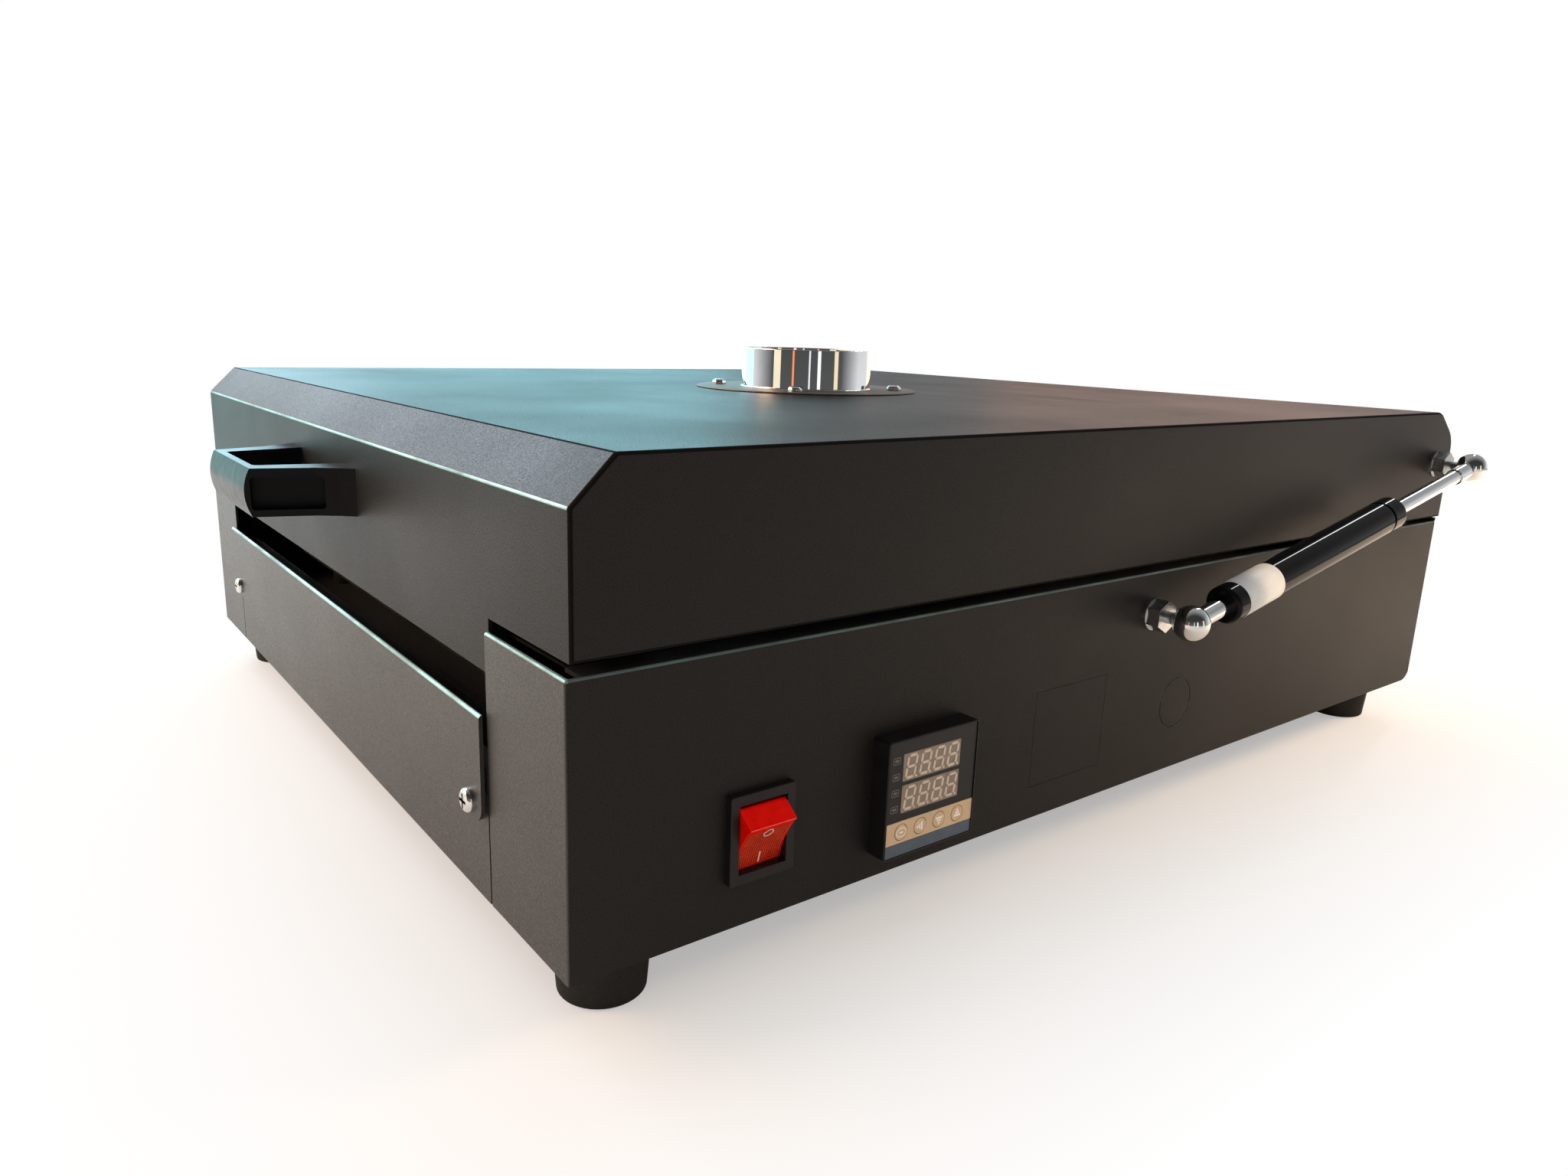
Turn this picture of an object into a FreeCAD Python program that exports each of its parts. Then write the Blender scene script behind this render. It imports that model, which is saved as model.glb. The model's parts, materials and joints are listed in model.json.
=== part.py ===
import FreeCAD, Part
import math
import os

os.makedirs("parts", exist_ok=True)
V = FreeCAD.Vector

# Casing, millimetres: x to the right, y to the rear, z up from the underside of the base sheet
BODY_W = 516.0
BODY_D = 590.0
BASE_H = 102.0
SHEET = 1.5
POST_W = 60.0
HW = BODY_W / 2
HD = BODY_D / 2
TOP_FLANGE = 12.0
BEND_R = 1.2
REAR_LIP = 1.9
REAR_CORNER = 9.0

# Front feed slot
FRONT_PANEL_HW = 197.0
FRONT_PANEL_H = 52.0
SHUTTER_X0 = -201.5
SHUTTER_X1 = 196.8
SHUTTER_Z0 = 31.0
SHUTTER_Z1 = 72.3
SHUTTER_GAP = 1.0
SHUTTER_SCREW_X = 186.5
SHUTTER_SCREW_Z = 37.5
TONGUE_Z = 86.3

# Feet
FOOT_H = 25.0
FOOT_R_TOP = 18.0
FOOT_R_LOW = 16.0
FOOT_X = 228.5
FOOT_Y = 267.5

# Lid
LID_FRONT = -293.0
LID_REAR = 299.0
LID_TOP = 168.5
LID_BEND_Z = 153.0
FRONT_CHAMFER = 15.5
REAR_CHAMFER = 21.0
FRONT_BEND_R = 2.0
REAR_TOP_R = 12.0
REAR_LOW_R = 16.0
CHEEK_FRONT_Z = 106.4
CHEEK_REAR_Z = 104.4
LINER_HW = 196.0
LINER_HD = 286.0
LINER_T = 1.0
LINER_FLOOR = 12.0
LINER_FRONT_Z = 66.0
DECK_HW = 250.0

# Exhaust collar on the lid
COLLAR_R = 40.0
COLLAR_H = 24.3
COLLAR_WALL = 0.95
FLANGE_R = 68.0
FLANGE_T = 1.0
FLANGE_SCREW_R = 55.0

# Handle
HANDLE_Z0 = 118.8
HANDLE_Z1 = 139.8
HANDLE_REACH = 38.7
HANDLE_BULGE = 2.6
HANDLE_LEGS = ((55.0, 0.0), (50.0, 6.0), (44.8, 14.0), (36.0, 42.5))
HANDLE_OPENING = ((34.0, -8.0), (34.0, 0.0), (27.5, 35.3))
HANDLE_SCREW_X = 42.0
HANDLE_POCKET = 7.5

# Heating plate
PLATE_HW = 180.0
PLATE_HD = 262.0
PLATE_Z0 = 58.0
PLATE_T = 10.0
INSULATION_T = 25.0
TUBE_R = 4.0
HAIRPIN_R = 20.0
HAIRPIN_X = (-120.0, -40.0, 40.0, 120.0)
CLAMP_Y = (-180.0, 0.0, 180.0)
CLAMP_X = (-80.0, 0.0, 80.0)
STANDOFF_X = 165.0
STANDOFF_Y = 240.0
PROBE_Y = -100.0

# Rocker switch on the right side
SWITCH_Y = -222.0
SWITCH_Z = 34.3
BEZEL_W = 27.6
BEZEL_H = 33.3
BEZEL_T = 3.2
ROCKER_GAP_W = 20.5
ROCKER_GAP_H = 25.8
ROCKER_W = 19.8
ROCKER_SINK = 2.0
ROCKER_TILT = 26.0

# Temperature controller on the right side
CTRL_Y = -145.3
CTRL_Z = 34.3
CTRL_SIZE = 48.0
CTRL_PROUD = 9.0
CTRL_CASE = 44.6
CTRL_DEPTH = 50.0
KEY_NAMES = ("key_set", "key_left", "key_down", "key_up")
KEY_U0 = -15.4
KEY_PITCH = 10.1
KEY_V = -13.6
KEY_R = 3.2
KEY_BORE_R = 3.5

# Hinges at the rear
HINGE_X = 160.0
HINGE_HW = 30.0
HINGE_Y = 303.0
HINGE_Z = 104.0
BARREL_R = 3.5
PIN_R = 2.0
LEAF_Y0 = 299.0
LEAF_T = 2.0
BASE_BARRELS = ((-30.0, -18.0), (-6.0, 6.0), (18.0, 30.0))
LID_BARRELS = ((-17.7, -6.3), (6.3, 17.7))

# Gas strut on the right side
STRUT_X = 278.0
STRUT_LOW = V(STRUT_X, 1.6, 82.5)
STRUT_TOP = V(STRUT_X, 278.0, 138.0)
STRUT_TUBE_R = 9.0
STRUT_ROD_R = 4.0
STRUT_SOCKET_R = 8.2
STRUT_STEM_R = 4.6
LOW_BALL_R = 5.0
TOP_BALL_R = 3.6
TOP_CAVITY_R = 6.9
TUBE_START = 24.5
TUBE_END = 184.0

# Power inlet and relay in the right-hand bay
INLET_X = 214.0
INLET_Z = 40.0
RELAY_Y = 170.0

# Move from the casing frame to the middle of the whole outline at floor level
RIGHT_REACH = STRUT_X + STRUT_TUBE_R
FRONT_REACH = HANDLE_REACH + HANDLE_BULGE - LID_FRONT
REAR_REACH = HINGE_Y + BARREL_R
ORIGIN = V((HW - RIGHT_REACH) / 2, (FRONT_REACH - REAR_REACH) / 2, FOOT_H)

nodes = {}


def box(x0, y0, z0, x1, y1, z1):
    return Part.makeBox(x1 - x0, y1 - y0, z1 - z0, V(x0, y0, z0))


def cyl(radius, start, axis, length):
    return Part.makeCylinder(radius, length, V(*start), V(*axis))


def ring(outer, inner, start, axis, length):
    return cyl(outer, start, axis, length).cut(cyl(inner, start, axis, length))


def join(shapes):
    whole = shapes[0].fuse(list(shapes[1:]))
    return whole.removeSplitter()


def group(shapes):
    return Part.makeCompound(list(shapes))


def cut(shape, tools):
    return shape.cut(list(tools))


def mirrored(shape):
    return shape.mirror(V(0, 0, 0), V(1, 0, 0))


def prism_x(points, x0, x1):
    wire = Part.makePolygon([V(x0, y, z) for y, z in points] + [V(x0, *points[0])])
    return Part.Face(wire).extrude(V(x1 - x0, 0, 0))


def prism_z(points, z0, z1):
    wire = Part.makePolygon([V(x, y, z0) for x, y in points] + [V(*points[0], z0)])
    return Part.Face(wire).extrude(V(0, 0, z1 - z0))


def rounded(shape, radius, wanted):
    edges = [e for e in shape.Edges if wanted(e)]
    return shape.makeFillet(radius, edges)


def runs_along(axis):
    direction = V(*axis)

    def check(edge):
        a, b = edge.Vertexes[0].Point, edge.Vertexes[-1].Point
        run = b.sub(a)
        return run.Length > 1e-6 and abs(abs(run.normalize().dot(direction)) - 1) < 1e-6
    return check


def rounded_block(x0, y0, z0, x1, y1, z1, axis, radius):
    return rounded(box(x0, y0, z0, x1, y1, z1), radius, runs_along(axis))


def pan_screw(seat, axis, shank_r, length, head_r, head_h):
    # Domed head outside the seat, shank into the work, cross recess in the crown
    direction = V(*axis)
    centre = V(*seat)
    head = Part.makeCylinder(head_r, head_h, V(0, 0, 0), V(0, 0, 1))
    crown = [e for e in head.Edges if e.Vertexes[0].Point.z > head_h - 1e-6 and len(e.Vertexes) == 1]
    head = head.makeFillet(head_h * 0.7, crown)
    shank = Part.makeCylinder(shank_r, length, V(0, 0, -length), V(0, 0, 1))
    slot_w = head_r * 0.26
    slot_l = head_r * 0.62
    depth = head_h * 0.55
    recess = [box(-slot_l, -slot_w / 2, head_h - depth, slot_l, slot_w / 2, head_h),
              box(-slot_w / 2, -slot_l, head_h - depth, slot_w / 2, slot_l, head_h)]
    screw = cut(join([head, shank]), recess)
    screw.Placement = FreeCAD.Placement(centre, FreeCAD.Rotation(V(0, 0, 1), direction))
    return screw


def hex_prism(seat, axis, flats, height):
    corner = flats / math.sqrt(3)
    angles = [math.radians(60 * k) for k in range(6)]
    solid = prism_z([(corner * math.cos(a), corner * math.sin(a)) for a in angles], 0, height)
    solid.Placement = FreeCAD.Placement(V(*seat), FreeCAD.Rotation(V(0, 0, 1), V(*axis)))
    return solid


def hex_nut(seat, axis, flats, height, bore):
    return hex_prism(seat, axis, flats, height).cut(cyl(bore, seat, axis, height))


def wire_run(points, radius):
    pieces = []
    for a, b in zip(points, points[1:]):
        run = V(*b).sub(V(*a))
        pieces.append(Part.makeCylinder(radius, run.Length, V(*a), run))
    pieces += [Part.makeSphere(radius, V(*p)) for p in points[1:-1]]
    return join(pieces)


# Base floor with foot holes and cooling slots under the side bays
floor_sheet = box(-HW + SHEET, -HD + SHEET, 0, HW - SHEET, HD - 2 * SHEET, SHEET)
foot_spots = [(sx * FOOT_X, sy * FOOT_Y) for sx in (-1, 1) for sy in (-1, 1)]
floor_cuts = [cyl(2.7, (x, y, 0), (0, 0, 1), SHEET) for x, y in foot_spots]
for side in (-1, 1):
    for k in range(7):
        slot_y = -60.0 + 22.0 * k
        floor_cuts.append(box(side * 228 - 16, slot_y, 0, side * 228 + 16, slot_y + 5, SHEET))
floor_cuts.append(cyl(2.6, (230, 255, 0), (0, 0, 1), SHEET))
nodes["base_floor"] = cut(floor_sheet, floor_cuts)

# Side panels: front post, side, rear flange with a low lip, and a top return flange
plate = box(HW - SHEET, -HD, 0, HW, HD, BASE_H)
post = box(HW - POST_W, -HD, 0, HW, -HD + SHEET, BASE_H)
rear_flange = box(HW - 16, HD - SHEET, 0, HW, HD, BASE_H)
channel = join([plate, post, rear_flange])
channel = rounded(channel, BEND_R, lambda e: runs_along((0, 0, 1))(e) and abs(e.Vertexes[0].X - HW) < 1e-6)
top_flange = box(HW - TOP_FLANGE, -HD + 6, BASE_H - SHEET, HW - SHEET / 2, HD - 6, BASE_H)
panel = join([channel, top_flange])
panel = rounded(panel, 1.0, lambda e: runs_along((0, 1, 0))(e) and e.Length > 300
                and abs(e.Vertexes[0].X - HW) < 1e-6 and abs(e.Vertexes[0].Z - BASE_H) < 1e-6)
lip = channel.common(box(HW - 16, HD - SHEET, 0, HW, HD, REAR_LIP))
lip.translate(V(0, 0, BASE_H))
panel = join([panel, lip])
corner = box(HW - 30, HD - REAR_CORNER, 0, HW, HD, REAR_CORNER)
corner = corner.cut(cyl(REAR_CORNER, (HW - 30, HD - REAR_CORNER, REAR_CORNER), (1, 0, 0), 30))
panel = panel.cut(corner)
for x, z in ((HW - 8, 22), (HW - 8, 78)):
    panel = panel.cut(cyl(1.7, (x, HD - SHEET, z), (0, 1, 0), SHEET))
nodes["side_panel_left"] = mirrored(panel)

# Right side: switch and controller cut-outs, a filled spare cut-out, a knock-out and the strut hole
side_cuts = [
    box(HW - SHEET, SWITCH_Y - 11, SWITCH_Z - 14.6, HW, SWITCH_Y + 11, SWITCH_Z + 14.6),
    box(HW - SHEET, CTRL_Y - 22.5, CTRL_Z - 22.5, HW, CTRL_Y + 22.5, CTRL_Z + 22.5),
    cyl(3.2, (HW - SHEET, STRUT_LOW.y, STRUT_LOW.z), (1, 0, 0), SHEET),
]
GROOVE = 0.4
SPARE_GROOVE = 0.2
spare = box(HW - SPARE_GROOVE, -76.2, 14.8, HW, -27.8, 58.2)
spare_core = box(HW - SPARE_GROOVE, -76.2 + SPARE_GROOVE, 14.8 + SPARE_GROOVE,
                 HW, -27.8 - SPARE_GROOVE, 58.2 - SPARE_GROOVE)
side_cuts.append(spare.cut(spare_core))
side_cuts.append(ring(12.7, 12.7 - GROOVE, (HW - GROOVE, 30, 34), (1, 0, 0), GROOVE))
nodes["side_panel_right"] = cut(panel, side_cuts)

# Front panel with a stiffening return along its top edge
shutter_spots = [(-SHUTTER_SCREW_X, SHUTTER_SCREW_Z), (SHUTTER_SCREW_X, SHUTTER_SCREW_Z)]
front = join([box(-FRONT_PANEL_HW, -HD, 0, FRONT_PANEL_HW, -HD + SHEET, FRONT_PANEL_H),
              box(-FRONT_PANEL_HW, -HD, FRONT_PANEL_H - SHEET, FRONT_PANEL_HW, -HD + 8, FRONT_PANEL_H)])
front_holes = [cyl(2.2, (x, -HD, z), (0, 1, 0), SHEET) for x, z in shutter_spots]
nodes["front_panel"] = cut(front, front_holes)

# Shutter plate that closes the lower part of the feed slot
SHUTTER_BACK = -HD - SHUTTER_GAP
SHUTTER_FACE = SHUTTER_BACK - SHEET
shutter = box(SHUTTER_X0, SHUTTER_FACE, SHUTTER_Z0, SHUTTER_X1, SHUTTER_BACK, SHUTTER_Z1)
shutter = rounded(shutter, 7.0, lambda e: runs_along((0, 1, 0))(e) and e.Vertexes[0].Z < SHUTTER_Z0 + 1)
shutter = rounded(shutter, 1.4, lambda e: runs_along((1, 0, 0))(e) and e.Vertexes[0].Z > SHUTTER_Z1 - 1
                  and e.Vertexes[0].Y < SHUTTER_BACK - 1)
shutter_holes = [cyl(2.2, (x, SHUTTER_FACE, z), (0, 1, 0), SHEET) for x, z in shutter_spots]
nodes["front_shutter"] = cut(shutter, shutter_holes)
shutter_fixings = []
for x, z in shutter_spots:
    shutter_fixings.append(pan_screw((x, SHUTTER_FACE, z), (0, -1, 0), 2.0, 9.0, 4.7, 2.9))
    shutter_fixings.append(ring(4.5, 2.2, (x, SHUTTER_BACK, z), (0, 1, 0), SHUTTER_GAP))
    shutter_fixings.append(hex_nut((x, -HD + SHEET, z), (0, 1, 0), 7.0, 3.2, 2.05))
nodes["shutter_screws"] = group(shutter_fixings)

# Rear panel behind the flanges, with the inlet cut-out and vents
REAR_Y = HD - SHEET
rear = join([box(-HW + SHEET + 0.2, REAR_Y - SHEET, 0, HW - SHEET - 0.2, REAR_Y, 99),
             box(-HW + TOP_FLANGE + 2, REAR_Y - 6, 99 - SHEET, HW - TOP_FLANGE - 2, REAR_Y, 99)])
rear_spots = [(sx * (HW - 8), z) for sx in (-1, 1) for z in (22, 78)]
rear_cuts = [cyl(1.7, (x, REAR_Y - SHEET, z), (0, 1, 0), SHEET) for x, z in rear_spots]
rear_cuts.append(box(INLET_X - 14, REAR_Y - SHEET, INLET_Z - 10.2, INLET_X + 14, REAR_Y, INLET_Z + 10.2))
rear_cuts += [cyl(1.7, (INLET_X + dx, REAR_Y - SHEET, INLET_Z), (0, 1, 0), SHEET) for dx in (-20, 20)]
for k in range(9):
    rear_cuts.append(box(-60 + 14 * k, REAR_Y - SHEET, 24, -54 + 14 * k, REAR_Y, 54))
hinge_low = [(sx * HINGE_X + dx, 80.0) for sx in (-1, 1) for dx in (-20, 0, 20)]
rear_cuts += [cyl(2.2, (x, REAR_Y - SHEET, z), (0, 1, 0), SHEET) for x, z in hinge_low]
rear_cuts += [corner, mirrored(corner)]
nodes["rear_panel"] = cut(rear, rear_cuts)
rear_fixings = []
for x, z in rear_spots:
    rear_fixings.append(pan_screw((x, HD, z), (0, 1, 0), 1.5, 7.0, 3.0, 2.0))
    rear_fixings.append(hex_nut((x, REAR_Y - SHEET, z), (0, -1, 0), 5.5, 2.4, 1.55))
nodes["rear_screws"] = group(rear_fixings)

# Rubber feet and their screws
feet = []
foot_fixings = []
for x, y in foot_spots:
    foot = Part.makeCone(FOOT_R_LOW, FOOT_R_TOP, FOOT_H, V(x, y, -FOOT_H), V(0, 0, 1))
    foot = rounded(foot, 1.5, lambda e: len(e.Vertexes) == 1 and e.Vertexes[0].Z < -FOOT_H + 1)
    foot = cut(foot, [cyl(6.5, (x, y, -FOOT_H), (0, 0, 1), 12), cyl(2.7, (x, y, -FOOT_H), (0, 0, 1), FOOT_H)])
    feet.append(foot)
    foot_fixings.append(pan_screw((x, y, -FOOT_H + 12), (0, 0, -1), 2.5, 20.0, 5.0, 3.5))
    foot_fixings.append(hex_nut((x, y, SHEET), (0, 0, 1), 8.0, 4.0, 2.55))
nodes["rubber_feet"] = group(feet)
nodes["foot_screws"] = group(foot_fixings)

# Chamber liner hung from the side panels' top flanges, its deck covering both side bays
LINER_TOP = BASE_H - SHEET
tank = box(-LINER_HW, -LINER_HD, LINER_FLOOR, LINER_HW, LINER_HD, LINER_TOP)
hollow = box(-LINER_HW + LINER_T, -LINER_HD + LINER_T, LINER_FLOOR + LINER_T,
             LINER_HW - LINER_T, LINER_HD - LINER_T, LINER_TOP)
decks = [box(s * (LINER_HW + DECK_HW) / 2 - (DECK_HW - LINER_HW) / 2, -LINER_HD, LINER_TOP - LINER_T,
             s * (LINER_HW + DECK_HW) / 2 + (DECK_HW - LINER_HW) / 2, LINER_HD, LINER_TOP) for s in (-1, 1)]
liner = join([tank.cut(hollow)] + decks)
liner_cuts = [box(-LINER_HW + LINER_T, -LINER_HD, LINER_FRONT_Z,
                  LINER_HW - LINER_T, -LINER_HD + LINER_T, LINER_TOP),
              cyl(3.0, (LINER_HW - LINER_T, PROBE_Y, PLATE_Z0 + PLATE_T / 2), (1, 0, 0), LINER_T),
              cyl(8.0, (LINER_HW - LINER_T, 255, 54), (1, 0, 0), LINER_T)]
nodes["chamber_liner"] = cut(liner, liner_cuts)

# Fibre board under the plate and the ceramic posts that carry the plate
standoffs = [(sx * STANDOFF_X, sy * STANDOFF_Y) for sx in (-1, 1) for sy in (-1, 1)]
BOARD_Z0 = LINER_FLOOR + LINER_T
STANDOFF_H = PLATE_Z0 - BOARD_Z0
board = box(-LINER_HW + 1.5, -LINER_HD + 1.5, BOARD_Z0,
            LINER_HW - 1.5, LINER_HD - 1.5, BOARD_Z0 + INSULATION_T)
board_holes = [cyl(7.3, (x, y, BOARD_Z0), (0, 0, 1), INSULATION_T) for x, y in standoffs]
nodes["insulation_board"] = cut(board, board_holes)
nodes["plate_standoffs"] = group([cyl(7.0, (x, y, BOARD_Z0), (0, 0, 1), STANDOFF_H) for x, y in standoffs])

# Heating plate with clamp-screw holes and a probe hole in its right edge
hot = rounded_block(-PLATE_HW, -PLATE_HD, PLATE_Z0, PLATE_HW, PLATE_HD, PLATE_Z0 + PLATE_T, (0, 0, 1), 6.0)
clamp_spots = [(x, y) for x in CLAMP_X for y in CLAMP_Y]
hot_cuts = [cyl(2.05, (x, y, PLATE_Z0), (0, 0, 1), 7.0) for x, y in clamp_spots]
hot_cuts.append(cyl(2.1, (PLATE_HW - 40, PROBE_Y, PLATE_Z0 + PLATE_T / 2), (1, 0, 0), 40))
nodes["heating_plate"] = cut(hot, hot_cuts)

# Hairpin heater tubes pressed against the plate by three clamp bars
TUBE_Z = PLATE_Z0 - TUBE_R
HAIRPIN_REAR = 248.0
HAIRPIN_FRONT = -225.0
hairpins = []
for x in HAIRPIN_X:
    left = V(x - HAIRPIN_R, HAIRPIN_REAR, TUBE_Z)
    right = V(x + HAIRPIN_R, HAIRPIN_REAR, TUBE_Z)
    low_left = V(x - HAIRPIN_R, HAIRPIN_FRONT, TUBE_Z)
    low_right = V(x + HAIRPIN_R, HAIRPIN_FRONT, TUBE_Z)
    bend = Part.Arc(low_left, V(x, HAIRPIN_FRONT - HAIRPIN_R, TUBE_Z), low_right).toShape()
    spine = Part.Wire([Part.makeLine(left, low_left), bend, Part.makeLine(low_right, right)])
    section = Part.Wire([Part.makeCircle(TUBE_R, left, V(0, 1, 0))])
    hairpins.append(spine.makePipeShell([section], True, False))
nodes["heater_tubes"] = group([Part.Solid(h) if h.ShapeType == "Shell" else h for h in hairpins])
CLAMP_Z = TUBE_Z - TUBE_R
clamp_bars = []
for y in CLAMP_Y:
    bar = box(-160, y - 8, CLAMP_Z - 3, 160, y + 8, CLAMP_Z)
    clamp_bars.append(cut(bar, [cyl(2.2, (x, y, CLAMP_Z - 3), (0, 0, 1), 3) for x in CLAMP_X]))
nodes["heater_clamps"] = group(clamp_bars)
nodes["clamp_screws"] = group([pan_screw((x, y, CLAMP_Z - 3), (0, 0, -1), 2.0, 17.0, 4.0, 2.8)
                               for x, y in clamp_spots])

# Temperature probe and its lead to the controller
PROBE_Z = PLATE_Z0 + PLATE_T / 2
CASE_BACK = HW - SHEET - CTRL_DEPTH
lead = [(PLATE_HW, PROBE_Y, PROBE_Z), (201.5, PROBE_Y, PROBE_Z),
        (201.5, CTRL_Y + 12, 46), (CASE_BACK, CTRL_Y + 12, 46)]
probe_tip = cyl(2.0, (PLATE_HW - 40, PROBE_Y, PROBE_Z), (1, 0, 0), 40)
nodes["temperature_probe"] = join([probe_tip, wire_run(lead, 1.25)])

# Solid-state relay on a finned heat sink
SINK_TOP = 30.0
sink = [box(206, RELAY_Y - 50, 24, 250, RELAY_Y + 50, SINK_TOP)]
for k in range(7):
    sink.append(box(206 + 7 * k, RELAY_Y - 50, SHEET, 208 + 7 * k, RELAY_Y + 50, 24))
nodes["relay_heatsink"] = join(sink)
relay = rounded_block(206.5, RELAY_Y - 29, SINK_TOP, 249.5, RELAY_Y + 29, SINK_TOP + 23, (0, 0, 1), 2.0)
relay_corners = [(x, y) for x in (211, 233) for y in (RELAY_Y - 27, RELAY_Y + 17)]
relay_cuts = [box(x, y, SINK_TOP + 15, x + 12, y + 10, SINK_TOP + 23) for x, y in relay_corners]
relay_screws = [cyl(3.2, (x + 6, y + 5, SINK_TOP + 15), (0, 0, 1), 4) for x, y in relay_corners]
nodes["solid_state_relay"] = group([cut(relay, relay_cuts)] + relay_screws)

# Terminal strip and earth stud on the floor of the bay
strip = box(214, 44, SHEET, 242, 104, 18)
strip_cuts = [box(218, 48 + 14 * k, 10, 238, 58 + 14 * k, 18) for k in range(4)]
strip_screws = [cyl(3.0, (228 + dx, 53 + 14 * k, 10), (0, 0, 1), 4) for dx in (-5, 5) for k in range(4)]
nodes["terminal_strip"] = group([cut(strip, strip_cuts)] + strip_screws)
earth_nuts = [hex_nut((230, 255, z), (0, 0, 1), 8.0, 4.0, 2.55) for z in (SHEET, 7.0)]
earth_washer = ring(6.0, 2.7, (230, 255, SHEET + 4), (0, 0, 1), 1.5)
nodes["earth_stud"] = group([cyl(2.5, (230, 255, 0), (0, 0, 1), 18), earth_washer] + earth_nuts)

# Mains inlet on the rear panel
INLET_FACE = REAR_Y + 3
inlet_flange = rounded_block(INLET_X - 25, REAR_Y, INLET_Z - 11.2,
                             INLET_X + 25, INLET_FACE, INLET_Z + 11.2, (0, 1, 0), 4.0)
inlet_body = box(INLET_X - 13.6, REAR_Y - 25, INLET_Z - 9.9, INLET_X + 13.6, REAR_Y, INLET_Z + 9.9)
socket_points = [(-12, -8), (12, -8), (12, 3.5), (7.5, 8), (-7.5, 8), (-12, 3.5), (-12, -8)]
well = Part.Face(Part.makePolygon([V(INLET_X + u, INLET_FACE, INLET_Z + v) for u, v in socket_points]))
inlet_holes = [cyl(1.7, (INLET_X + dx, REAR_Y, INLET_Z), (0, 1, 0), 3) for dx in (-20, 20)]
nodes["power_inlet"] = cut(join([inlet_flange, inlet_body]), [well.extrude(V(0, -20, 0))] + inlet_holes)
blades = []
for u, v in ((-7, -1.5), (0, 2.5), (7, -1.5)):
    x = INLET_X + u
    z = INLET_Z + v
    blades.append(box(x - 1, REAR_Y - 17, z - 2, x + 1, REAR_Y - 4, z + 2))
    blades.append(box(x - 3, REAR_Y - 34, z - 0.4, x + 3, REAR_Y - 25, z + 0.4))
nodes["inlet_pins"] = group(blades)
inlet_fixings = []
for dx in (-20, 20):
    inlet_fixings.append(pan_screw((INLET_X + dx, INLET_FACE, INLET_Z), (0, 1, 0), 1.5, 9.0, 3.0, 2.0))
    inlet_fixings.append(hex_nut((INLET_X + dx, REAR_Y - SHEET, INLET_Z), (0, -1, 0), 5.5, 2.4, 1.55))
nodes["inlet_screws"] = group(inlet_fixings)

# Switch housing with an open front, and the spade terminals at its back
bezel = rounded_block(HW, SWITCH_Y - BEZEL_W / 2, SWITCH_Z - BEZEL_H / 2,
                      HW + BEZEL_T, SWITCH_Y + BEZEL_W / 2, SWITCH_Z + BEZEL_H / 2, (1, 0, 0), 0.7)
bezel = rounded(bezel, 0.4, lambda e: all(abs(v.X - HW - BEZEL_T) < 1e-6 for v in e.Vertexes))
switch_body = box(HW - 26, SWITCH_Y - 10.9, SWITCH_Z - 14.5, HW, SWITCH_Y + 10.9, SWITCH_Z + 14.5)
pocket = box(HW - 18, SWITCH_Y - ROCKER_GAP_W / 2, SWITCH_Z - ROCKER_GAP_H / 2,
             HW + BEZEL_T, SWITCH_Y + ROCKER_GAP_W / 2, SWITCH_Z + ROCKER_GAP_H / 2)
PIVOT_X = HW - ROCKER_SINK
trunnions = [cyl(1.5, (PIVOT_X, SWITCH_Y + s * ROCKER_GAP_W / 2, SWITCH_Z), (0, -s, 0), 2.0) for s in (-1, 1)]
nodes["switch_housing"] = join([cut(join([bezel, switch_body]), [pocket])] + trunnions)
spade_spots = [(SWITCH_Y + dy, SWITCH_Z + dz) for dy in (-6, 6) for dz in (-8, 8)]
nodes["switch_terminals"] = group([box(HW - 36, y - 3, z - 0.4, HW - 26, y + 3, z + 0.4)
                                   for y, z in spade_spots])

# Rocker: two crests with a hollow face between, modelled level and then tipped bottom-in
CREST_X = 7.3
CREST_Z = 10.4
HOLLOW_X = 5.9
hollow_face = Part.Arc(V(CREST_X, 0, CREST_Z), V(HOLLOW_X, 0, 0), V(CREST_X, 0, -CREST_Z)).toShape()
upper_half = [(-7.5, 4.0), (-4.6, 9.4), (-1.3, 11.9), (CREST_X, CREST_Z)]
outline = [(x, -z) for x, z in reversed(upper_half)] + upper_half
sides = [Part.makeLine(V(a[0], 0, a[1]), V(b[0], 0, b[1])) for a, b in zip(outline, outline[1:])]
rocker = Part.Face(Part.Wire([hollow_face] + sides)).extrude(V(0, ROCKER_W, 0))
rocker.translate(V(0, -ROCKER_W / 2, 0))
rocker = cut(rocker, [cyl(1.55, (0, s * ROCKER_W / 2, 0), (0, -s, 0), 2.0) for s in (-1, 1)])
rocker.rotate(V(0, 0, 0), V(0, 1, 0), ROCKER_TILT)
rocker.translate(V(PIVOT_X, SWITCH_Y, SWITCH_Z))
nodes["rocker"] = rocker

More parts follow.
